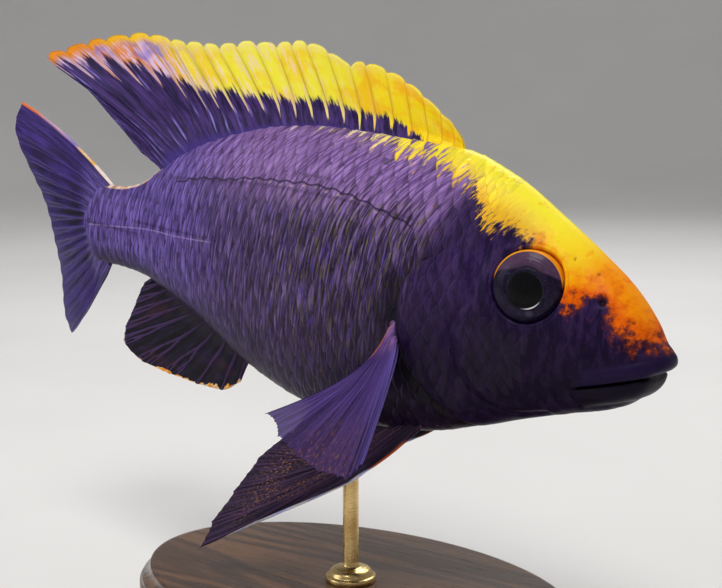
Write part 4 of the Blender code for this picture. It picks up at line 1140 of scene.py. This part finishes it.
def pored(roots, height):
    """Which scales lie on a lateral line."""
    on_line = np.zeros(len(roots), bool)
    for line in (UPPER_LINE, LOWER_LINE):
        near = np.abs(height - along(line, roots[:, 0])) < roots[:, 3] * 0.27
        on_line |= near & (roots[:, 0] > line[0][0]) & (roots[:, 0] < line[-1][0])
    return on_line[:, None, None]


def coat(name, side, finish, table):
    """The scales of one side: thin overlapping plates, each rising out of the skin to its rear edge."""
    body, nape, cheek = body_roots(table), nape_roots(table), cheek_roots(table)
    roots = np.concatenate([body, nape, cheek])

    def by_kind(*values):
        return np.repeat(values, [len(body), len(nape), len(cheek)])[:, None, None]

    flatness = by_kind(0.0, 1.2, 1.45)
    on_head = flatness > 0
    draw = np.random.default_rng(21 if side > 0 else 22)
    chance = draw.random(len(roots))
    tilt = draw.normal(0, 0.018, len(roots))[:, None, None]
    rise = draw.normal(0, 0.015, len(roots))[:, None, None]

    # Each scale's outline, from its root: x back and y up, in mm
    s0, q0, pitch, high = (roots[:, k, None, None] for k in range(4))
    across = np.linspace(-1, 1, SCALE_COLUMNS)[None, None, :]
    back = np.linspace(0, 1, SCALE_ROWS)[None, :, None] ** 0.8
    y = across * 0.545 * high
    edge = pitch * (1.02 - np.where(on_head, 0.95, 0.62) * (2 * y / high) ** 2)
    front = -1.15 * pitch - 0.35 * pitch * (1 - across**2)
    x = front + (edge - front) * back
    s, q = s0 + x, q0 + y
    theta = np.clip(read_table(table, s, q), 0.8, 179.2)
    plain = section(s, theta)
    z = plain[..., 2]
    root_angle = read_table(table, roots[:, 0], roots[:, 1])
    root = section(roots[:, 0], root_angle)

    # How far it stands out of the skin
    relief = np.where(on_head, gill_relief(s, z, False), gill_relief(s, z, True))
    relief = relief * round_side(theta) + face_relief(s, z)[0]
    tube = pored(roots, root[:, 2]) * hump(y, 0.34) * ease((x + 0.9) / 0.5)
    small = 1 - 0.5 * flatness - 0.35 * ease((s - 104.0) / 8.0)
    small = small * np.where(by_kind(False, True, False), 0.3 + 0.7 * ease((s - 26.0) / 6.0), 1.0)
    lift = 0.12 - 0.075 * (edge - x) + 0.04 * (1 - across**2) - 0.13 * across**4 + rise
    lift = lift - np.where(on_head, 0.12 * (1 - back) ** 2, 0.0)
    lift = small * (lift + tilt * y) + 0.11 * tube * (1 - 0.5 * hump(edge - x - 0.25, 0.22))
    lift = lift * (1 - 0.5 * ease((root_angle - 148.0) / 22.0))[:, None, None]
    normal = outward(s, theta)
    top = plain + normal * (relief + lift)[..., None]
    low = plain + normal * (relief + lift - SCALE_THICKNESS)[..., None]

    # What its finish reads: the whole scale takes its pattern partly from its root
    flip = np.array([1, side, 1])
    true_place = top_and_rim(plain) * flip
    whole = by_kind(0.35, 0.1, 0.3)
    marks = whole * (root * flip)[:, None] + (1 - whole) * true_place
    local = top_and_rim(np.stack([x / pitch, np.broadcast_to(y / high, x.shape), tube], -1))
    chances = np.repeat(chance, SCALE_POINTS + len(SCALE_RIM))
    made = piece(name, place((top_and_rim(top, low) * flip).reshape(-1, 3)), plate_faces(len(roots), side),
                 finish, [("fish", marks.reshape(-1, 3)), ("place", true_place.reshape(-1, 3)),
                          ("scale", local.reshape(-1, 3)), ("chance", chances)])

    # The UV map: every scale has its own patch
    share = np.stack([(x - front) / (edge - front), np.broadcast_to((across + 1) / 2, x.shape)], -1)
    corner = np.stack([roots[:, 0] / MAP_SPAN, 0.5 + roots[:, 1] / MAP_SPAN], -1)[:, None]
    places = (corner + MAP_PATCH * top_and_rim(share)).reshape(-1, 2)
    loops = np.empty(len(made.data.loops), np.int32)
    made.data.loops.foreach_get("vertex_index", loops)
    made.data.uv_layers.new(name="OFBake").data.foreach_set("uv", places[loops].astype(np.float32).ravel())
    return made


# Fins

def in_plane(tips):
    """Rows for over_rays from the tips of a fin in the middle plane."""
    return [(ray, s, 0.0, z) for ray, (s, z) in enumerate(tips)]


def over_rays(table, u):
    """Points over the ray number u, from (ray, s, w, z) rows."""
    rows = np.array(table, float)
    return np.stack([along(list(zip(rows[:, 0], rows[:, k])), u) for k in (1, 2, 3)], -1)


def bent(foot, bow, tip, v):
    """Middle points of a fin over (ray, share of its height), along curves from its foot to its tip."""
    foot, bow, tip, v = foot[:, None], bow[:, None], tip[:, None], v[None, :, None]
    return foot * (1 - v) ** 2 + 2 * bow * v * (1 - v) + tip * v * v


def edge_share(u, count, lobed, seed, fray=1.0):
    """How much of its length a fin has at each column: lobed up to the ray `lobed`, frayed behind it."""
    draw = np.random.default_rng(seed).normal(0, RAY_VARIES, count + 1)
    varied = 1 + np.interp(u, np.arange(len(draw)), draw)
    lobe = 1 + (along(LOBE, u - np.floor(u)) - 1) * (1 - 0.4 * ease((u - 13.0) / 6.0))
    crest = np.clip(1 - np.abs(u - np.round(u)) / RAY_HALF, 0, 1)
    fringe = 0.006 * np.abs(np.sin(u * math.pi * 4.0)) + 0.004 * np.abs(np.sin(u * 23.0 + 1.0))
    return (varied * np.where(u < lobed, lobe, 1 - fray * (FRAY * (1 - crest) + fringe)))[:, None]


def fin_half(u, v, spread, count, spines, root, web):
    """Half thickness of a fin and its ray mask: fleshy foot, thin web, spines, rays that split twice."""
    nearest = np.clip(np.round(u), 0, count - 1)
    middle = nearest + np.where(nearest == 0, 0.09, np.where(nearest == count - 1, -0.09, 0.0))
    off = u - middle
    soft = nearest >= spines
    first = np.where(soft, 0.16 * ease((v - 0.36) / 0.34), 0.0)
    second = np.where(soft, 0.075 * ease((v - 0.68) / 0.26), 0.0)
    raised = 0.0
    for a in (-1, 1):
        for b in (-1, 1):
            gap = np.abs(off - a * first - b * second) * spread
            branch = 0.30 - 0.08 * ease((v - 0.36) / 0.3) - 0.06 * ease((v - 0.68) / 0.3)
            size = np.where(soft, branch, 0.36 - 0.17 * v)
            raised = np.maximum(raised, np.sqrt(np.clip(1 - (gap / size) ** 2, 0, 1)))
    tall = np.where(soft, 0.26 - 0.15 * v, 0.22 - 0.12 * v) * ease(v * 7)
    pillow = np.where(u < spines - 1, 0.17 * np.sin(np.pi * (u - np.floor(u))) ** 0.7 * ease(v * 3), 0.0)
    foot = np.maximum(root / 2 - web, 0) * (1 - ease(v * 3.4))
    foot = foot * (0.3 + 0.7 * ease(np.minimum(u, count - 1 - u) / 1.4))
    rounded = np.sqrt(np.clip(1 - (np.clip(v - 0.965, 0, 1) / 0.036) ** 2, 0.12, 1))
    return (web + foot + pillow + raised * tall) * rounded, raised


def fin_sheet(name, centre, u, v, count, spines, root, finish, side=1, web=0.12, pleat=0.16):
    """A closed fin about a grid of middle points."""
    along_u = np.gradient(centre, axis=0) / np.gradient(u)[:, None, None]
    along_v = np.gradient(centre, axis=1)
    normal = unit(np.cross(along_u, along_v))
    grid_u, grid_v = u[:, None] + 0 * v[None, :], v[None, :] + 0 * u[:, None]
    spread = np.linalg.norm(along_u, axis=-1)
    pleats = np.sin(2 * math.pi * grid_u) * ease(grid_v * 2.5) * (1 - 0.7 * ease(grid_v * 2.5 - 1.5))
    wave = pleat * pleats + 0.25 * np.sin(1.1 * grid_u + 2.2 * grid_v) * grid_v
    centre = centre + normal * wave[..., None]
    half, raised = fin_half(grid_u, grid_v, spread, count, spines, root, web)
    front, back = centre + normal * half[..., None], centre - normal * half[..., None]
    n, m = half.shape
    points = np.concatenate([front.reshape(-1, 3), back.reshape(-1, 3)]) * np.array([1, side, 1])
    quads = sheet_quads(n, m)
    rim = rim_of(np.arange(n * m).reshape(n, m).T)
    skirt = np.stack([rim, rim + n * m, np.roll(rim, -1) + n * m, np.roll(rim, -1)], -1)
    faces = np.concatenate([quads, quads[:, ::-1] + n * m, skirt[:, ::-1]])
    world = place(points)
    faces = wind_out(world, faces)
    marks = np.stack([grid_u, grid_v, raised], -1).reshape(-1, 3)
    return piece(name, world, faces.tolist(), finish, [("fin", np.concatenate([marks, marks]))])


def columns(count, spines, at_spine, at_ray):
    """Column places over the rays: at_spine between two spines, at_ray between two soft rays."""
    parts = [np.linspace(k, k + 1, at_spine if k < spines else at_ray, endpoint=False)
             for k in range(count - 1)]
    return np.concatenate(parts + [[count - 1.0]])


def dorsal_sail(finish):
    u, v = columns(DORSAL_RAYS, DORSAL_SPINES, 16, 20), np.linspace(0, 1, 76)
    s = along(DORSAL_FEET, u)
    true_foot = on_skin(s, 0.0, 0.36 + 0.3 * ease((s - 84) / 6))
    tip = true_foot + (over_rays(in_plane(DORSAL_TIPS), u) - true_foot) * edge_share(u, DORSAL_RAYS, 23, 3)
    foot = on_skin(s, 0.0, -FOOT_SUNK)
    across = np.stack([foot[:, 2] - tip[:, 2], 0 * s, tip[:, 0] - foot[:, 0]], -1)
    bow = (foot + tip) / 2 + across * DORSAL_BOW
    centre = bent(foot, bow, tip, v)
    return fin_sheet("dorsal_sail", centre, u, v, DORSAL_RAYS, DORSAL_SPINES, 1.9, finish)


def anal_fan(finish):
    u, v = columns(ANAL_RAYS, 3, 18, 22), np.linspace(0, 1, 64)
    s = np.interp(u, [0, ANAL_RAYS - 1], ANAL_ROOT)
    true_foot = on_skin(s, 180.0, 0.4)
    tip = true_foot + (over_rays(in_plane(ANAL_TIPS), u) - true_foot) * edge_share(u, ANAL_RAYS, 0, 5)
    foot = on_skin(s, 180.0, -FOOT_SUNK)
    centre = bent(foot, (foot + tip) / 2, tip, v)
    return fin_sheet("anal_fan", centre, u, v, ANAL_RAYS, 3, 1.7, finish)


def tail_fan(finish):
    u, v = columns(CAUDAL_RAYS, 0, 18, 22), np.linspace(0, 1, 84)
    z = np.interp(u, [0, CAUDAL_RAYS - 1], TAIL_ROOT)
    true_foot = np.stack([tail_edge(z), 0 * z, z], -1)
    tip = true_foot + (over_rays(CAUDAL_TIPS, u) - true_foot) * edge_share(u, CAUDAL_RAYS, 0, 7, 0.3)
    foot = true_foot - np.array([2.2, 0, 0])
    bend = np.stack([0.45 + 0 * u, 0.35 + 0 * u, along(CAUDAL_BEND, u)], -1)
    bow = foot + (tip - foot) * bend
    centre = bent(foot, bow, tip, v)
    return fin_sheet("tail_fan", centre, u, v, CAUDAL_RAYS, 0, 2.0, finish, pleat=0.22)


def folded(tip, foot, side, fold):
    """The left fin's tips, turned back and spread less or more than the right fin's."""
    if side > 0:
        return tip
    turn, spread = fold
    drawn = tip - foot
    back = drawn[:, 0] * math.cos(turn) - drawn[:, 2] * math.sin(turn)
    down = drawn[:, 0] * math.sin(turn) + drawn[:, 2] * math.cos(turn)
    return foot + np.stack([back, drawn[:, 1] * spread, down], -1)


def root_line(root, share):
    """s and angle along a paired fin's root."""
    (s0, t0), (s1, t1) = root
    return s0 + (s1 - s0) * share, t0 + (t1 - t0) * share


def pelvic_fan(name, side, finish):
    u, v = columns(PELVIC_RAYS, 1, 18, 22), np.linspace(0, 1, 110)
    s, theta = root_line(PELVIC_ROOT, u / (PELVIC_RAYS - 1))
    true_foot = on_skin(s, theta, 0.35)
    reach = folded(over_rays(PELVIC_TIPS, u), true_foot, side, PELVIC_FOLD) - true_foot
    tip = true_foot + reach * edge_share(u, PELVIC_RAYS, 0, 11)
    bow = true_foot + (tip - true_foot) * 0.4 + outward(s, theta) * 3.0
    foot = on_skin(s, theta, -0.9)
    centre = bent(foot, bow, tip, v)
    return fin_sheet(name, centre, u, v, PELVIC_RAYS, 1, 1.5, finish, side, pleat=0.25)


def pectoral_fan(name, side, finish):
    u, v = columns(PECTORAL_RAYS, 0, 14, 16), np.linspace(0, 1, 90)
    s, theta = root_line(PECTORAL_ROOT, u / (PECTORAL_RAYS - 1))
    true_foot = on_skin(s, theta, 0.3)
    reach = folded(over_rays(PECTORAL_TIPS, u), true_foot, side, PECTORAL_FOLD) - true_foot
    tip = true_foot + reach * edge_share(u, PECTORAL_RAYS, 0, 13)
    knee = over_rays(PECTORAL_KNEE, u)
    foot = on_skin(s, theta, -1.0)
    low, high = foot + (knee - foot) * 0.8, knee + (tip - knee) * 0.24
    t = v[None, :, None]
    centre = foot[:, None] * (1 - t) ** 3 + 3 * low[:, None] * t * (1 - t) ** 2
    centre = centre + 3 * high[:, None] * t * t * (1 - t) + tip[:, None] * t**3
    return fin_sheet(name, centre, u, v, PECTORAL_RAYS, 0, 1.4, finish, side, web=0.09, pleat=0.10)


# Eyes

LENS_RADIUS, CORNEA_RADIUS, ORBIT_RADIUS = 2.62, 5.0, 5.28


def eye_frame(side):
    """Centre and axes (out, forward, up) of an eye in the fish's frame; side is 1 on the right."""
    s, z = EYE
    centre = section(s, side_angle(s, z))
    forward, lift = math.radians(EYE_FORWARD), math.radians(EYE_UP)
    out = unit(np.array([-math.sin(forward), math.cos(forward) * math.cos(lift), math.sin(lift)]))
    ahead = unit(np.cross(np.array([0, 0, 1.0]), out))
    up = np.cross(out, ahead)
    centre = centre - out * EYE_SUNK
    flip = np.array([1, side, 1])
    return centre * flip, out * flip, ahead * flip, up * flip


def eye_turned(name, side, profile, finish, turns=72):
    """A round piece about the eye's axis from (distance from it, depth along it) pairs."""
    centre, out, ahead, up = eye_frame(side)
    phi = np.linspace(0, 2 * math.pi, turns, endpoint=False)[None, :, None]
    far, deep = np.array(profile).T[:, :, None, None]
    points = centre + out * deep + far * (ahead * np.cos(phi) + up * np.sin(phi))
    local = np.concatenate([far * np.cos(phi), far * np.sin(phi), far + 0 * phi], -1)
    if ahead[0] > 0:
        local[..., 0] *= -1
    world = place(points.reshape(-1, 3))
    quads = wind_out(world, ring_quads(len(profile), turns))
    faces = quads.tolist() + caps(len(profile), turns)
    return piece(name, world, faces, finish, [("eye", local.reshape(-1, 3))])


def iris(name, side, finish):
    lens = [(r, 2.34 + 0.36 * math.sqrt(1 - (r / LENS_RADIUS) ** 2)) for r in np.linspace(0.05, 2.55, 14)]
    bevel = [(LENS_RADIUS, 2.30), (2.72, 2.34), (2.9, 2.39)]
    web = [(r, 2.42 - 0.16 * (r - 2.9) - 0.19 * (r - 2.9) ** 2 + 0.02 * math.sin(r * 14))
           for r in np.linspace(3.0, 4.95, 17)]
    behind = [(5.05 * math.cos(t), 3.0 * math.sin(t)) for t in np.linspace(0.42, -1.5, 16)]
    return eye_turned(name, side, lens + bevel + web + behind, finish)


def cornea(name, side, finish):
    outer = [(CORNEA_RADIUS * math.sin(t), 3.08 * math.cos(t) ** 0.9) for t in np.linspace(0.02, 1.22, 18)]
    inner = [(r - 0.08 * r / CORNEA_RADIUS, d - 0.16) for r, d in outer[::-1]]
    return eye_turned(name, side, outer + inner, finish)


def orbit_rim(name, side, finish):
    """The fold of skin round an eye."""
    t = np.linspace(0, 2 * math.pi, 96, endpoint=False)
    s, z = EYE[0] + ORBIT_RADIUS * np.cos(t), EYE[1] + ORBIT_RADIUS * np.sin(t)
    theta = side_angle(s, z)
    centre, out = on_skin(s, theta, 0.02), outward(s, theta)
    inward = unit(np.array([EYE[0], centre[:, 1].mean(), EYE[1]]) - centre)
    phi = np.linspace(0, 2 * math.pi, 16, endpoint=False)
    wide = 0.34 + 0.05 * np.sin(5 * t)
    rings = [centre + (out * math.sin(a) * 1.1 + inward * math.cos(a) * 0.9) * wide[:, None] for a in phi]
    flip = np.array([1, side, 1])
    points = np.stack(rings) * flip
    world = place(points.reshape(-1, 3))
    at = np.arange(len(phi) * len(t)).reshape(len(phi), len(t))
    quads = np.stack([at, np.roll(at, -1, 1), np.roll(np.roll(at, -1, 1), -1, 0), np.roll(at, -1, 0)], -1)
    marks = np.broadcast_to(centre * flip, points.shape)
    quads = wind_out(world, quads.reshape(-1, 4))
    return piece(name, world, quads.tolist(), finish, [("fish", marks.reshape(-1, 3))])


# The stand

BASE_LENGTH, BASE_WIDTH, BASE_THICKNESS = 80.0, 52.0, 8.0
ROD_AT, ROD_RADIUS, COLLAR_RADIUS = 55.0, 1.25, 4.0
BASE_TURNS, ROD_TURNS = 192, 64
# The base's edge as (share of its radius, height), up to its rounded shoulder.
BASE_EDGE = [(0.96, 0.0), (0.975, 0.1), (0.982, 0.35), (0.982, 1.2), (0.986, 1.35), (0.998, 1.45), (1.0, 1.7),
             (1.0, 4.6), (0.999, 5.0), (0.992, 5.15), (0.988, 5.4), (0.988, 5.7)]
# The rod as (radius, height over the base), and its upper end as (radius, height over the belly).
ROD_FOOT = [(0.2, 0.0), (COLLAR_RADIUS - 0.1, 0.0), (COLLAR_RADIUS, 0.12), (COLLAR_RADIUS, 0.8),
            (COLLAR_RADIUS - 0.12, 0.92), (COLLAR_RADIUS - 0.35, 0.98), (3.5, 1.1), (3.42, 1.35), (3.3, 1.6),
            (3.0, 1.9), (2.5, 2.1), (1.9, 2.2), (1.55, 2.3), (1.35, 2.6), (ROD_RADIUS, 3.2)]
ROD_TIP = [(ROD_RADIUS, -3.2), (1.4, -2.9), (1.55, -2.5), (1.5, -2.1), (1.3, -1.8), (1.2, -0.9), (1.15, 0.25),
           (0.2, 0.3)]


def stand(wood, brass):
    foot = place(np.array([ROD_AT, 0.0, 0.0])) / MM
    shoulder = [(0.988 - 0.043 * math.sin(a) ** 2, 5.7 + 2.25 * (1 - math.cos(a)) ** 0.9)
                for a in np.linspace(0.2, 1.57, 10)]
    edge = BASE_EDGE + shoulder + [(share, BASE_THICKNESS) for share in (0.93, 0.6, 0.2, 0.02)]
    base = turned("base_turned", [(r * BASE_LENGTH / 2, h) for r, h in edge], BASE_TURNS, foot, wood,
                  (1.0, BASE_WIDTH / BASE_LENGTH))
    belly = place(on_skin(ROD_AT, 180.0, 0.0))[2] / MM
    rod = [(r, BASE_THICKNESS + h) for r, h in ROD_FOOT] + [(ROD_RADIUS, (BASE_THICKNESS + belly) / 2)]
    rod += [(r, belly + h) for r, h in ROD_TIP]
    return base, turned("rod_turned", rod, ROD_TURNS, foot, brass)


# The studio, in metres, and the camera that sees the fish as the photograph does

CAMERA_AT, CAMERA_UP, CAMERA_TURN, CAMERA_LENS = (0.14159, -0.1605, 0.0822), 82.1, 37.7, 66.525
LAMP_AIM = (0.0, 0.0, 0.055)
SWEEP_TURNS = 96


def sweep(finish):
    """A pale floor that curves up into a pale wall all round."""
    curve = [(0.9 + 0.8 * math.sin(a), 0.8 * (1 - math.cos(a))) for a in np.linspace(0.1, 1.5, 15)]
    profile = [(0.01, 0.0), (0.3, 0.0), (0.9, 0.0)] + curve + [(1.72, 2.6)]
    phi = np.linspace(0, 2 * math.pi, SWEEP_TURNS, endpoint=False)
    rings = [np.stack([r * np.cos(phi), r * np.sin(phi), 0 * phi + h], -1) for r, h in profile]
    quads = ring_quads(len(rings), SWEEP_TURNS)
    made = piece("studio_sweep", np.concatenate(rings), quads.tolist() + [list(range(SWEEP_TURNS))], finish)


def lamp(name, at, size, power, tint=(1.0, 1.0, 1.0)):
    data = bpy.data.lights.new(name, "AREA")
    data.shape, data.size, data.energy, data.color = "DISK", size, power, tint
    made = bpy.data.objects.new(name, data)
    bpy.context.scene.collection.objects.link(made)
    made.location = at
    line = [a - b for a, b in zip(LAMP_AIM, at)]
    turn = math.atan2(line[1], line[0])
    made.rotation_euler = (math.atan2(math.hypot(line[0], line[1]), -line[2]), 0, turn - math.pi / 2)


def studio(finish):
    sweep(finish)
    world = bpy.data.worlds.new("studio")
    world.use_nodes = True
    sky = world.node_tree.nodes["Background"].inputs
    sky["Color"].default_value, sky["Strength"].default_value = (0.93, 0.95, 1.0, 1.0), 0.45
    bpy.context.scene.world = world
    lamp("key", (0.12, -0.30, 0.75), 0.4, 3.6, (1.0, 0.98, 0.95))
    lamp("fill", (-0.50, -0.50, 0.35), 0.5, 1.2, (0.93, 0.95, 1.0))
    lamp("back", (-0.10, 0.50, 0.55), 0.4, 2.0)
    data = bpy.data.cameras.new("camera")
    data.sensor_fit, data.sensor_width, data.lens = "HORIZONTAL", 36.0, CAMERA_LENS
    data.clip_start, data.clip_end = 0.005, 20.0
    camera = bpy.data.objects.new("camera", data)
    bpy.context.scene.collection.objects.link(camera)
    camera.location = CAMERA_AT
    camera.rotation_euler = (math.radians(CAMERA_UP), 0, math.radians(CAMERA_TURN))
    bpy.context.scene.camera = camera
    bpy.context.scene.view_settings.view_transform = "Standard"


def build():
    markings_and_shade, grain, rays = markings_and_shade_group(), grain_group(), ray_group()
    skin, scales = skin_finish(markings_and_shade, grain), scale_finish(markings_and_shade, grain)
    carry(fish_skin(skin), "skin", "head", "torso", "tail_base")
    table = arc_angles()
    for label, side in (("right", 1), ("left", -1)):
        carry(coat("coat_" + label, side, scales, table), "skin")
    carry(dorsal_sail(fin_finish("dorsal", rays)), "dorsal", "dorsal_fin")
    carry(tail_fan(fin_finish("tail", rays)), "fin", "caudal_fin")
    carry(anal_fan(fin_finish("anal", rays)), "fin", "anal_fin")
    pelvic, pectoral = fin_finish("pelvic", rays), fin_finish("pectoral", rays)
    eye, clear = iris_finish(), cornea_finish()
    for label, side in (("right", 1), ("left", -1)):
        carry(pelvic_fan("pelvic_fan_" + label, side, pelvic), "fin", "pelvic_fin_" + label)
        carry(pectoral_fan("pectoral_fan_" + label, side, pectoral), "fin", "pectoral_fin_" + label)
        carry(iris("iris_" + label, side, eye), "eye", "eye_" + label)
        carry(cornea("cornea_" + label, side, clear), "eye")
        carry(orbit_rim("orbit_rim_" + label, side, skin), "skin")
    base, rod = stand(wood_finish(), brass_finish())
    carry(base, "wood", "stand_base")
    carry(rod, "brass", "stand_rod")
    studio(floor_finish())


build()
